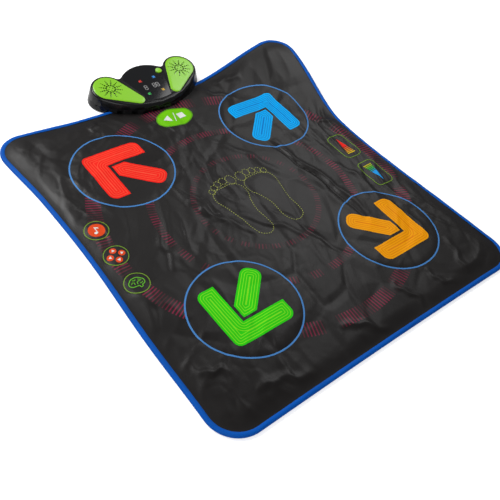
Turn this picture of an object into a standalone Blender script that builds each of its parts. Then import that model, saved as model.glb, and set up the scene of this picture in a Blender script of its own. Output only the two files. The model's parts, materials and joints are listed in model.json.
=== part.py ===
"""A dance rhythm machine: a soft touch mat with ten touch pads, and the sound console on its back edge.

The origin is the middle of the mat's underside, on the floor. +Y runs towards the console, +X to a
dancer's right and +Z up. All sizes are in metres.
"""

import math

import bmesh
import bpy
from mathutils import Matrix, Vector

# ---------------------------------------------------------------- mat
MAT_WIDTH = 0.905
MAT_DEPTH = 0.955
CORNER_RADIUS = 0.079
SIDE_WAIST = 0.018  # how far the left and right edges draw in at their middles
FRONT_WAIST = 0.004  # the same for the front edge
BACK_WAIST = 0.022  # and for the back edge, which the console weighs down
GAP = 0.0003  # between faces that touch

BASE_SHEET = 0.0008
FILM = 0.0004
SPACER_FOAM = 0.0025
TOP_COVER = 0.0008
BINDING = 0.0008  # thickness of the binding tape
BINDING_TOP_LIP = 0.011
BINDING_BOTTOM_LIP = 0.008
EDGE_STEPS = 8  # straight pieces along each side of the outline
CORNER_STEPS = 6

# Each layer lies on the one below it.
LOWER_FILM_Z = BASE_SHEET + GAP
SPACER_Z = LOWER_FILM_Z + FILM + GAP
UPPER_FILM_Z = SPACER_Z + SPACER_FOAM + GAP
COVER_Z = UPPER_FILM_Z + FILM + GAP
COVER_TOP_Z = COVER_Z + TOP_COVER
MAT_TOP_Z = COVER_TOP_Z + GAP + BINDING

# ---------------------------------------------------------------- touch pads
PRINT_Y = 0.004  # the middle of the printed layout, which every pad is placed about
PAD_TRAVEL = 0.0015
PAD_PROUD = PAD_TRAVEL  # a pad at rest stands this far over the cover, and is flush when pressed
PAD_GAP = 0.0005  # round a pad, in the cover
PAD_CLEARANCE = 0.0012  # round a pad, in the layers that it sinks past
ARROW_PAD_RADIUS = 0.126
ARROW_PAD_X = MAT_WIDTH / 2 - 0.2275
ARROW_PAD_Y = MAT_DEPTH / 2 - 0.2345
MODE_PAD_RADIUS = 0.0285
MODE_PAD_X = 0.0725 - MAT_WIDTH / 2
MODE_PAD_Y = (0.101, 0.017, -0.070)
VOLUME_PAD_SIZE = (0.063, 0.093)
VOLUME_PAD_CORNER = 0.016
VOLUME_PAD_X = MAT_WIDTH / 2 - 0.1025
VOLUME_PAD_Y = (0.040, -0.079)
PLAY_PAD_SIZE = (0.103, 0.067)
PLAY_PAD_CLEARANCE = 0.00657  # from the foot of the console's wall to the pad
PAD_FOAM_MARGIN = 0.004  # a pad's foam disc is this much smaller in radius than the pad
CONTACT_WINDOW_RADIUS = 0.010
CONTACT_WINDOW_RING = 0.062
CONTACT_WINDOWS = 4

# ---------------------------------------------------------------- console
CONSOLE_OVERHANG = 0.0245  # from the mat's back corners to the line through the speaker lobes
CONSOLE_Y = MAT_DEPTH / 2 + CONSOLE_OVERHANG
TOP_Z = 0.0425  # height of the top plane there
TOP_SLOPE = math.radians(8.53)  # the top rises towards the back
LOBE_X = 0.1135
LOBE_RADIUS = 0.0460
HUMP_Y = -0.043  # centre of the middle hump's arc, from the lobes' line
HUMP_RADIUS = 0.0905
FRONT_RADIUS = 0.196  # radius of the long front edge
NOTCH_RADIUS = 0.0105  # fillet between hump and lobe, larger than the draft
DRAFT = 0.009  # how far the foot of the wall stands out past the top
WALL = 0.0022
ROOF = 0.0026
FLOOR = 0.0020
BASE_Z = 0.0015  # underside of the console behind the mat
SPLIT_Z = 0.0180  # where the two housings meet
TOP_BEVEL = 0.0040
STEP_CLEARANCE = 0.0015  # the console's underside steps up over the mat this far behind its edge
FRONT_FLOOR_Z = MAT_TOP_Z + GAP

SEAT_DEPTH = 0.0013  # depth of the seats for the grilles and the window in the roof
SEAT_LEDGE = 0.003
SEAT_GAP = 0.0004
GRILLE_PROUD = 0.0012
WINDOW_PROUD = 0.0002
TEAR_RADIUS = 0.0400
TEAR_TIP = (0.058, -0.066)
TEAR_TIP_RADIUS = 0.015
GRILLE_SPOKES = 12
GRILLE_RINGS = ((0.0085, 0.0015), (0.0140, 0.0013), (0.0190, 0.0010))  # ring radius, hole radius

BUTTON_PLACE = (0.0485, 0.0075)
BUTTON_RADIUS = 0.0088
BUTTON_PROUD = 0.0032
BUTTON_TRAVEL = 0.0012
BUTTON_FLANGE = 0.0012
BUTTON_FLANGE_RADIUS = 0.0108

BOARD_HALF_WIDTH = 0.056
BOARD_Y = (-0.070, 0.018)
BOARD_TOP = -0.012
BOARD_THICKNESS = 0.0016
BOARD_PEGS = ((-0.038, -0.062), (0.038, -0.062), (-0.048, 0.008), (0.0, 0.012))
BOARD_POST_RADIUS = 0.0030
BOARD_PEG_RADIUS = 0.0014
DIGIT_TOP = -0.0016
DIGIT_SIZE = (0.0125, 0.019)
DIGIT_Y = -0.0345
DIGIT_PLACES = {"mode_digit_display": (-0.0175, 1), "score_digit_display": (0.0125, 2)}
LED_PLACES = {
    "red_arrow_led": (-0.0210, -0.008),
    "blue_arrow_led": (0.0210, -0.008),
    "green_arrow_led": (-0.0210, -0.057),
    "yellow_arrow_led": (0.0210, -0.057),
}
LED_RADIUS = 0.0025

SPEAKER_RADIUS = 0.0285
SPEAKER_DEPTH = 0.018
MAGNET_RADIUS = 0.016
CONE_RADIUS = 0.0235

CELL_RADIUS = 0.0071
CELL_LENGTH = 0.049
CELL_NUB = (0.0027, 0.0012)
CELL_PITCH = 0.0155
CELLS = 3
CELLS_Y = CONSOLE_Y + 0.0030  # the middle cell
CELL_Z = 0.0126
BAY_CLEARANCE = 0.0006
BAY_WALL = 0.0015
CONTACT_THICKNESS = 0.0005
CONTACT_BUMP = 0.0008
CONTACT_HEIGHT = 0.010
DOOR_THICKNESS = 0.0018
DOOR_GAP = 0.0004
DOOR_TAB = (0.010, 0.004, 0.0012)
DOOR_TAB_X = 0.014
DOOR_TONGUE = (0.014, 0.011)

SCREW_RADIUS = 0.0013
SCREW_HEAD = (0.0027, 0.0016)  # radius, height
SCREW_HOLE_GAP = 0.0003
HOUSING_SCREWS = ((0.0645, 0.004), (0.1487, -0.004))
HOUSING_POST_RADIUS = 0.0038
MAT_SCREWS = tuple((x, CONSOLE_Y - y) for x, y in ((-0.085, 0.064), (0.0, 0.082), (0.085, 0.064)))
MAT_SCREW_RADIUS = 0.0015
MAT_SCREW_HEAD = (0.0045, 0.0007)
MAT_SCREW_TOP = 0.0165
MAT_BOSS_RADIUS = 0.0042
FOOT_RADIUS = 0.008
FOOT_PLACE = (LOBE_X, CONSOLE_Y + 0.0240)
FOOT_SEAT = 0.0012

TAIL_WIDTH = 0.040
TAIL_THICKNESS = 0.0004
TAIL_Y = CONSOLE_Y - 0.0645
TAIL_SLOT = (TAIL_WIDTH + 0.006, 0.010)
CONNECTOR_SIZE = (0.044, 0.006, 0.005)
CONNECTOR_Y = -0.058


# ---------------------------------------------------------------- scene and finishes
def clear_scene():
    for old in list(bpy.data.objects):
        bpy.data.objects.remove(old, do_unlink=True)


def new_collection(name):
    made = bpy.data.collections.new(name)
    bpy.context.scene.collection.children.link(made)
    return made


def finish_of(name, colour, roughness, metallic=0.0):
    made = bpy.data.materials.new(name)
    made.use_nodes = True
    made.diffuse_color = (*colour, 1.0)
    shader = made.node_tree.nodes["Principled BSDF"]
    shader.inputs["Base Color"].default_value = (*colour, 1.0)
    shader.inputs["Roughness"].default_value = roughness
    shader.inputs["Metallic"].default_value = metallic
    return made


clear_scene()
PARTS = new_collection("dance_rhythm_machine")
CUTTERS = new_collection("cutters")
FINISHES = {
    "black_vinyl": finish_of("black_vinyl", (0.012, 0.012, 0.013), 0.38),
    "blue_tape": finish_of("blue_tape", (0.005, 0.10, 0.48), 0.5),
    "base_cloth": finish_of("base_cloth", (0.03, 0.03, 0.032), 0.85),
    "foam": finish_of("foam", (0.75, 0.75, 0.72), 0.9),
    "film": finish_of("film", (0.55, 0.58, 0.56), 0.3),
    "red_print": finish_of("red_print", (0.90, 0.03, 0.015), 0.45),
    "blue_print": finish_of("blue_print", (0.0, 0.42, 0.90), 0.45),
    "green_print": finish_of("green_print", (0.06, 0.72, 0.02), 0.45),
    "orange_print": finish_of("orange_print", (0.95, 0.40, 0.01), 0.45),
    "black_plastic": finish_of("black_plastic", (0.010, 0.010, 0.011), 0.35),
    "green_plastic": finish_of("green_plastic", (0.30, 0.70, 0.02), 0.35),
    "window": finish_of("window", (0.006, 0.006, 0.008), 0.08),
    "board_green": finish_of("board_green", (0.02, 0.16, 0.06), 0.4),
    "clear_resin": finish_of("clear_resin", (0.75, 0.75, 0.75), 0.15),
    "steel": finish_of("steel", (0.6, 0.6, 0.6), 0.3, 1.0),
    "nickel": finish_of("nickel", (0.7, 0.66, 0.58), 0.3, 1.0),
    "cone_paper": finish_of("cone_paper", (0.02, 0.02, 0.02), 0.8),
    "cell_jacket": finish_of("cell_jacket", (0.05, 0.05, 0.06), 0.3),
    "wire": finish_of("wire", (0.5, 0.02, 0.02), 0.45),
    "rubber": finish_of("rubber", (0.02, 0.02, 0.02), 0.8),
}
# Things on the sloping top are placed in this empty's frame: z is the distance over the top face.
TOP = bpy.data.objects.new("console_top", None)
TOP.location = (0, CONSOLE_Y, TOP_Z)
TOP.rotation_euler = (TOP_SLOPE, 0, 0)
PARTS.objects.link(TOP)
TOP_MATRIX = Matrix.Translation(TOP.location) @ Matrix.Rotation(TOP_SLOPE, 4, "X")


# ---------------------------------------------------------------- outlines
def arc(centre, radius, start_deg, end_deg, steps):
    """Points along an arc, both ends included."""
    angles = [math.radians(start_deg + (end_deg - start_deg) * i / steps) for i in range(steps + 1)]
    return [(centre[0] + radius * math.cos(a), centre[1] + radius * math.sin(a)) for a in angles]


def circle(centre, radius, steps):
    return arc(centre, radius, 0, 360, steps)[:-1]


def ellipse(centre, half_x, half_y, steps):
    return [(centre[0] + half_x * x, centre[1] + half_y * y) for x, y in circle((0, 0), 1, steps)]


def rounded_box(centre, half_x, half_y, radius, steps=4):
    points = []
    for sign_x, sign_y, start in ((1, 1, 0), (-1, 1, 90), (-1, -1, 180), (1, -1, 270)):
        corner = (centre[0] + sign_x * (half_x - radius), centre[1] + sign_y * (half_y - radius))
        points += arc(corner, radius, start, start + 90, steps)
    return points


def waisted(x, y):
    """The mat's plan with its edges drawn in at their middles."""
    across, along = x / (MAT_WIDTH / 2), y / (MAT_DEPTH / 2)
    end_waist = BACK_WAIST if y > 0 else FRONT_WAIST
    return x - SIDE_WAIST * across * (1 - along**2), y - end_waist * along * (1 - across**2)


def mat_outline(inset):
    """The mat's edge, moved in by the inset: four corner arcs with straight runs between them."""
    box = rounded_box(
        (0, 0), MAT_WIDTH / 2 - inset, MAT_DEPTH / 2 - inset, CORNER_RADIUS - inset, CORNER_STEPS
    )
    points = []
    for i, (x, y) in enumerate(box):
        points.append((x, y))
        if (i + 1) % (CORNER_STEPS + 1) == 0:  # the end of a corner: walk to the next one
            next_x, next_y = box[(i + 1) % len(box)]
            for step in range(1, EDGE_STEPS):
                share = step / EDGE_STEPS
                points.append((x + (next_x - x) * share, y + (next_y - y) * share))
    return [waisted(x, y) for x, y in points]


def angle_to(start, end):
    return math.degrees(math.atan2(end[1] - start[1], end[0] - start[0]))


def circle_meeting(a, radius_a, b, radius_b):
    """Where two circles cross, on the side towards +Y."""
    dx, dy = b[0] - a[0], b[1] - a[1]
    apart = math.hypot(dx, dy)
    along = (radius_a**2 - radius_b**2 + apart**2) / (2 * apart)
    aside = math.sqrt(max(radius_a**2 - along**2, 0))
    side = 1 if dx > 0 else -1
    return (
        a[0] + (along * dx - side * aside * dy) / apart,
        a[1] + (along * dy + side * aside * dx) / apart,
    )


def front_centre():
    """The front edge's arc touches both lobes from outside: its centre is on the middle line."""
    reach = FRONT_RADIUS - LOBE_RADIUS
    return (0.0, math.sqrt(reach**2 - LOBE_X**2))


def console_outline(inset):
    """The console's plan, about the middle of its lobes' line, moved in by the inset.

    Its arcs keep their centres for every inset, so outlines of any inset pair up point by point.
    """
    lobe, hump, front = (LOBE_X, 0.0), (0.0, HUMP_Y), front_centre()
    notch = circle_meeting(hump, HUMP_RADIUS + NOTCH_RADIUS, lobe, LOBE_RADIUS + NOTCH_RADIUS)
    front_end = angle_to(front, lobe)
    lobe_end, hump_start = angle_to(lobe, notch), angle_to(hump, notch)
    right = arc(front, FRONT_RADIUS - inset, -90, front_end, 9)[1:-1]
    right += arc(lobe, LOBE_RADIUS - inset, front_end, lobe_end, 21)
    right += arc(notch, NOTCH_RADIUS + inset, lobe_end - 180, hump_start - 180, 4)[1:-1]
    right += arc(hump, HUMP_RADIUS - inset, hump_start, 90, 6)[:-1]
    left = [(-x, y) for x, y in reversed(right)]
    return [(0.0, front[1] - FRONT_RADIUS + inset), *right, (0.0, HUMP_Y + HUMP_RADIUS - inset), *left]


def teardrop(side, inset):
    """A speaker cover's outline: a large round end over the lobe, a small one towards the front."""
    big, tip = (LOBE_X, 0.0), TEAR_TIP
    apart = math.hypot(tip[0] - big[0], tip[1] - big[1])
    lean = math.degrees(math.acos((TEAR_RADIUS - TEAR_TIP_RADIUS) / apart))
    towards = angle_to(big, tip)
    points = arc(big, TEAR_RADIUS - inset, towards + lean, towards + 360 - lean, 20)
    points += arc(tip, TEAR_TIP_RADIUS - inset, towards - lean, towards + lean, 6)
    return [(side * x, y) for x, y in points]


def window_outline(inset):
    """The display window: an arc that follows the hump and one that follows the front edge."""
    front = front_centre()
    top = arc((0, HUMP_Y), HUMP_RADIUS - 0.0050 - inset, 43, 137, 8)
    bottom = arc(front, FRONT_RADIUS - 0.014 - inset, -100.6, -79.4, 4)
    return top + bottom


# ---------------------------------------------------------------- building
def place(obj, finish, parent=None):
    PARTS.objects.link(obj)
    obj.data.materials.append(FINISHES[finish])
    obj.parent = parent
    return obj


def hide(obj, parent=None):
    CUTTERS.objects.link(obj)
    obj.hide_render = True
    obj.display_type = "WIRE"
    obj.parent = parent
    return obj


def plate(name, outlines, low, high):
    """A flat piece between two heights: the first outline is its edge, the others its holes."""
    data = bpy.data.curves.new(name, "CURVE")
    data.dimensions = "2D"
    data.fill_mode = "BOTH"
    data.extrude = (high - low) / 2
    for outline in outlines:
        spline = data.splines.new("POLY")
        spline.points.add(len(outline) - 1)
        for point, (x, y) in zip(spline.points, outline):
            point.co = (x, y, 0, 1)
        spline.use_cyclic_u = True
    obj = bpy.data.objects.new(name, data)
    obj.location.z = (low + high) / 2
    return obj


def meshed(obj):
    """The same shape as a closed mesh with its place applied, so that it can be cut or cut others."""
    CUTTERS.objects.link(obj)
    bpy.context.view_layer.update()
    evaluated = obj.evaluated_get(bpy.context.evaluated_depsgraph_get())
    mesh = bpy.data.meshes.new_from_object(evaluated)
    mesh.transform(obj.matrix_world)
    shape = bmesh.new()
    shape.from_mesh(mesh)
    bmesh.ops.remove_doubles(shape, verts=shape.verts, dist=1e-6)
    bmesh.ops.recalc_face_normals(shape, faces=shape.faces)
    shape.to_mesh(mesh)
    shape.free()
    name = obj.name
    bpy.data.objects.remove(obj, do_unlink=True)
    return bpy.data.objects.new(name, mesh)


def slab(name, outlines, low, high):
    return meshed(plate(name, outlines, low, high))


def from_bmesh(name, shape):
    bmesh.ops.recalc_face_normals(shape, faces=shape.faces)
    mesh = bpy.data.meshes.new(name)
    shape.to_mesh(mesh)
    shape.free()
    return bpy.data.objects.new(name, mesh)


def block(name, low, high):
    """A box between two corners."""
    shape = bmesh.new()
    bmesh.ops.create_cube(shape, size=1)
    size = [b - a for a, b in zip(low, high)]
    middle = [(a + b) / 2 for a, b in zip(low, high)]
    bmesh.ops.scale(shape, vec=size, verts=shape.verts)
    bmesh.ops.translate(shape, vec=middle, verts=shape.verts)
    return from_bmesh(name, shape)


def rod(name, centre, radius, low, high, steps=12):
    """An upright round bar between two heights."""
    shape = bmesh.new()
    bmesh.ops.create_cone(
        shape, cap_ends=True, segments=steps, radius1=radius, radius2=radius, depth=high - low
    )
    bmesh.ops.translate(shape, vec=(centre[0], centre[1], (low + high) / 2), verts=shape.verts)
    return from_bmesh(name, shape)


def loft(name, rings, triangles=False):
    """A solid through rings of paired points, closed by flat ends.

    Its walls' quads aren't quite flat, so a loft that many pieces cut is made of triangles.
    """
    shape = bmesh.new()
    loops = [[shape.verts.new(point) for point in ring] for ring in rings]
    for lower, upper in zip(loops, loops[1:]):
        for i in range(len(lower)):
            after = (i + 1) % len(lower)
            shape.faces.new((lower[i], lower[after], upper[after], upper[i]))
    shape.faces.new(list(reversed(loops[0])))
    shape.faces.new(loops[-1])
    if triangles:
        bmesh.ops.triangulate(shape, faces=shape.faces)
    return from_bmesh(name, shape)


def hoop(name, rings):
    """A closed hoop through rings of paired points: the last ring joins the first."""
    shape = bmesh.new()
    loops = [[shape.verts.new(point) for point in ring] for ring in rings]
    for lower, upper in zip(loops, loops[1:] + loops[:1]):
        for i in range(len(lower)):
            after = (i + 1) % len(lower)
            shape.faces.new((lower[i], lower[after], upper[after], upper[i]))
    return from_bmesh(name, shape)


def turned(name, profile, steps):
    """A solid turned about Z from a profile of (radius, height), listed from the top down."""
    shape = bmesh.new()
    points = [shape.verts.new((radius, 0, height)) for radius, height in profile]
    for a, b in zip(points, points[1:]):
        shape.edges.new((a, b))
    mesh = bpy.data.meshes.new(name)
    shape.to_mesh(mesh)
    shape.free()
    obj = bpy.data.objects.new(name, mesh)
    screw = obj.modifiers.new("turn", "SCREW")
    screw.steps = screw.render_steps = steps
    screw.use_merge_vertices = True
    screw.merge_threshold = 1e-6
    return obj


def combine(obj, other, operation):
    """Cuts, joins or keeps only what is common, with the other shape as a hidden helper."""
    if other.name not in CUTTERS.objects:
        hide(other)
    boolean = obj.modifiers.new(operation.lower(), "BOOLEAN")
    boolean.operation = operation
    boolean.object = other
    boolean.solver = "EXACT"
    return obj


def cut(obj, *others):
    for other in others:
        combine(obj, other, "DIFFERENCE")
    return obj


def join(obj, *others):
    for other in others:
        combine(obj, other, "UNION")
    return obj


def smooth(obj, angle_deg=35):
    obj.data.shade_smooth()
    obj.data.set_sharp_from_angle(angle=math.radians(angle_deg))
    return obj


def on_top(x, y, z=0.0):
    """A point of the sloping top's frame, in the object's own frame."""
    return TOP_MATRIX @ Vector((x, y, z))


# ---------------------------------------------------------------- the mat
def arrow_pad_places():
    far, near = PRINT_Y + ARROW_PAD_Y, PRINT_Y - ARROW_PAD_Y
    return {
        "red_arrow": (-ARROW_PAD_X, far),
        "blue_arrow": (ARROW_PAD_X, far),
        "green_arrow": (-ARROW_PAD_X, near),
        "orange_arrow": (ARROW_PAD_X, near),
    }


def pad_outlines(grow):
    """Each touch pad's outline, made larger by grow."""
    outlines = {
        f"{name}_pad": circle(place_of, ARROW_PAD_RADIUS + grow, 36)
        for name, place_of in arrow_pad_places().items()
    }
    for name, y in zip(("free_mode_pad", "follow_mode_pad", "memory_mode_pad"), MODE_PAD_Y):
        outlines[name] = circle((MODE_PAD_X, PRINT_Y + y), MODE_PAD_RADIUS + grow, 20)
    half_x, half_y = VOLUME_PAD_SIZE[0] / 2 + grow, VOLUME_PAD_SIZE[1] / 2 + grow
    for name, y in zip(("volume_up_pad", "volume_down_pad"), VOLUME_PAD_Y):
        centre = (VOLUME_PAD_X, PRINT_Y + y)
        outlines[name] = rounded_box(centre, half_x, half_y, VOLUME_PAD_CORNER + grow)
    half_x, half_y = PLAY_PAD_SIZE[0] / 2 + grow, PLAY_PAD_SIZE[1] / 2 + grow
    console_foot = CONSOLE_Y + front_centre()[1] - FRONT_RADIUS - DRAFT
    play_y = console_foot - PLAY_PAD_CLEARANCE - PLAY_PAD_SIZE[1] / 2
    outlines["play_stop_pad"] = ellipse((0, play_y), half_x, half_y, 28)
    return outlines


def screw_holes(radius):
    return [circle(centre, radius, 10) for centre in MAT_SCREWS]


def tail_slot(grow=0.0):
    return rounded_box(
        (0, TAIL_Y), TAIL_SLOT[0] / 2 + grow, TAIL_SLOT[1] / 2 + grow, 0.001 + grow, 1
    )


def make_mat():
    layer_inset = BINDING + SEAT_GAP
    shank_holes = screw_holes(MAT_SCREW_RADIUS + 3 * SCREW_HOLE_GAP)
    head_holes = screw_holes(MAT_SCREW_HEAD[0] + 2 * SCREW_HOLE_GAP)
    base_edge = mat_outline(BINDING_BOTTOM_LIP + GAP)
    place(plate("base_sheet", [base_edge, *head_holes], 0, BASE_SHEET), "base_cloth")

    edge = mat_outline(layer_inset)
    lower = plate(
        "lower_circuit_film", [edge, *shank_holes], LOWER_FILM_Z, LOWER_FILM_Z + FILM
    )
    place(lower, "film")
    wide_holes = list(pad_outlines(PAD_CLEARANCE).values()) + [tail_slot(), *shank_holes]
    foam = plate("spacer_foam", [edge, *wide_holes], SPACER_Z, SPACER_Z + SPACER_FOAM)
    place(foam, "foam")
    upper = plate("upper_circuit_film", [edge, *wide_holes], UPPER_FILM_Z, UPPER_FILM_Z + FILM)
    place(upper, "film")
    pad_holes = list(pad_outlines(PAD_GAP).values()) + [tail_slot(), *shank_holes]
    place(plate("top_cover", [edge, *pad_holes], COVER_Z, COVER_TOP_Z), "black_vinyl")


def make_edge_binding():
    """One tape folded round the layers, with its lower lip beside the base sheet."""
    section = (
        (0.0, 0.0),
        (0.0, MAT_TOP_Z - 0.0012),
        (0.0012, MAT_TOP_Z),
        (BINDING_TOP_LIP, MAT_TOP_Z),
        (BINDING_TOP_LIP, MAT_TOP_Z - BINDING),
        (BINDING, MAT_TOP_Z - BINDING),
        (BINDING, BINDING),
        (BINDING_BOTTOM_LIP, BINDING),
        (BINDING_BOTTOM_LIP, 0.0),
    )
    rings = [[(x, y, z) for x, y in mat_outline(inset)] for inset, z in section]
    place(hoop("edge_binding", rings), "blue_tape")


def make_touch_pads():
    finishes = {
        "red_arrow_pad": "red_print",
        "blue_arrow_pad": "blue_print",
        "green_arrow_pad": "green_print",
        "orange_arrow_pad": "orange_print",
        "play_stop_pad": "green_print",
    }
    for name, outline in pad_outlines(0.0).items():
        pad = plate(name, [outline], COVER_Z, COVER_TOP_Z + PAD_PROUD)
        place(pad, finishes.get(name, "black_vinyl"))


def make_pad_foams():
    """The foam disc that springs each arrow pad back, with windows where the films can touch."""
    for name, (x, y) in arrow_pad_places().items():
        windows = [
            circle((cx, cy), CONTACT_WINDOW_RADIUS, 8)
            for cx, cy in circle((x, y), CONTACT_WINDOW_RING, CONTACT_WINDOWS)
        ]
        disc = circle((x, y), ARROW_PAD_RADIUS - PAD_FOAM_MARGIN, 24)
        foam = plate(f"{name}_foam", [disc, *windows], SPACER_Z, COVER_Z - GAP)
        place(foam, "foam")


# ---------------------------------------------------------------- console housings
def top_ring(inset, below=0.0):
    return [on_top(x, y, -below) for x, y in console_outline(inset)]


def wall_ring(height, inset):
    """The console's wall at one height. It leans in from its foot to the sloping top."""
    foot = [Vector((x, CONSOLE_Y + y, 0)) for x, y in console_outline(inset - DRAFT)]
    return [a.lerp(b, height / b.z) for a, b in zip(foot, top_ring(inset))]


def shoulder_ring(drop):
    """The wall a little below the top edge, where the rounded edge starts."""
    foot = [Vector((x, CONSOLE_Y + y, 0)) for x, y in console_outline(-DRAFT)]
    return [a.lerp(b, 1 - drop / b.z) for a, b in zip(foot, top_ring(0))]


def housing_screw_places():
    return [(side * x, CONSOLE_Y + y) for side in (-1, 1) for x, y in HOUSING_SCREWS]


def bay_box(grow=0.0):
    """The battery bay's plan: low x, high x, low y, high y."""
    half_x = CELL_LENGTH / 2 + CELL_NUB[1] + CONTACT_THICKNESS + CONTACT_BUMP + 4 * GAP + grow
    half_y = CELL_PITCH * (CELLS - 1) / 2 + CELL_RADIUS + BAY_CLEARANCE + grow
    return -half_x, half_x, CELLS_Y - half_y, CELLS_Y + half_y


def door_box(grow=0.0):
    """The door's plan: the cells pass through it, and its tongue holds the screw."""
    half_x = CELL_LENGTH / 2 + CELL_NUB[1] + GAP + grow
    _, _, front, back = bay_box()
    return -half_x, half_x, front + BAY_WALL / 2 - grow, back - BAY_WALL / 2 + grow


def door_outline(grow):
    left, right, front, back = door_box(grow)
    tongue, end = DOOR_TONGUE[0] / 2 + grow, door_box()[3] + DOOR_TONGUE[1] + grow
    return [
        (left, front),
        (right, front),
        (right, back),
        (tongue, back),
        (tongue, end),
        (-tongue, end),
        (-tongue, back),
        (left, back),
    ]


def door_screw_place():
    return (0.0, door_box()[3] + DOOR_TONGUE[1] / 2)


def make_upper_housing():
    rounding = [shoulder_ring(TOP_BEVEL), top_ring(0.25 * TOP_BEVEL, 0.30 * TOP_BEVEL)]
    outer = [wall_ring(SPLIT_Z + GAP, 0), *rounding, top_ring(0.9 * TOP_BEVEL)]
    body = loft("upper_housing", outer)
    cut(body, loft("upper_room", [wall_ring(SPLIT_Z - WALL, WALL), top_ring(WALL, ROOF)]))

    for i, (x, y) in enumerate(housing_screw_places()):
        roof = on_top(x, y - CONSOLE_Y, -ROOF / 2).z
        post = rod(f"post_{i}", (x, y), HOUSING_POST_RADIUS, screw_pad_top() + GAP, roof, 10)
        join(body, post)
        hole = rod(
            f"post_hole_{i}", (x, y), SCREW_RADIUS + SCREW_HOLE_GAP, 0, screw_top() + 2 * GAP, 8
        )
        cut(body, hole)
    for i, peg in enumerate(BOARD_PEGS):
        post = rod(f"board_post_{i}", peg, BOARD_POST_RADIUS, BOARD_TOP + GAP, -ROOF / 2, 8)
        pin_end = BOARD_TOP - BOARD_THICKNESS - 0.0012
        pin = rod(f"board_pin_{i}", peg, BOARD_PEG_RADIUS, pin_end, BOARD_TOP + 2 * GAP, 8)
        for shape in (post, pin):
            hide(shape, TOP)
        join(body, post, pin)

    openings = []
    for side, word in ((-1, "left"), (1, "right")):
        seat = slab(f"{word}_seat", [teardrop(side, -SEAT_GAP)], -SEAT_DEPTH, 0.01)
        way = slab(f"{word}_way", [teardrop(side, SEAT_LEDGE)], -2 * ROOF, 0.01)
        openings += [seat, way]
    openings.append(slab("window_seat", [window_outline(-SEAT_GAP)], -SEAT_DEPTH, 0.01))
    light_way = [(-0.030, -0.066), (0.030, -0.066), (0.036, 0.006), (-0.036, 0.006)]
    openings.append(slab("light_way", [light_way], -2 * ROOF, 0.01))
    openings.append(rod("button_way", BUTTON_PLACE, BUTTON_RADIUS + SEAT_GAP, -2 * ROOF, 0.01, 20))
    for opening in openings:
        hide(opening, TOP)
    cut(body, *openings)
    place(smooth(body), "black_plastic")


def screw_pad_top():
    return BASE_Z + FLOOR + SCREW_HEAD[1] + 0.0010


def screw_top():
    return screw_pad_top() + 0.009


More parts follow.
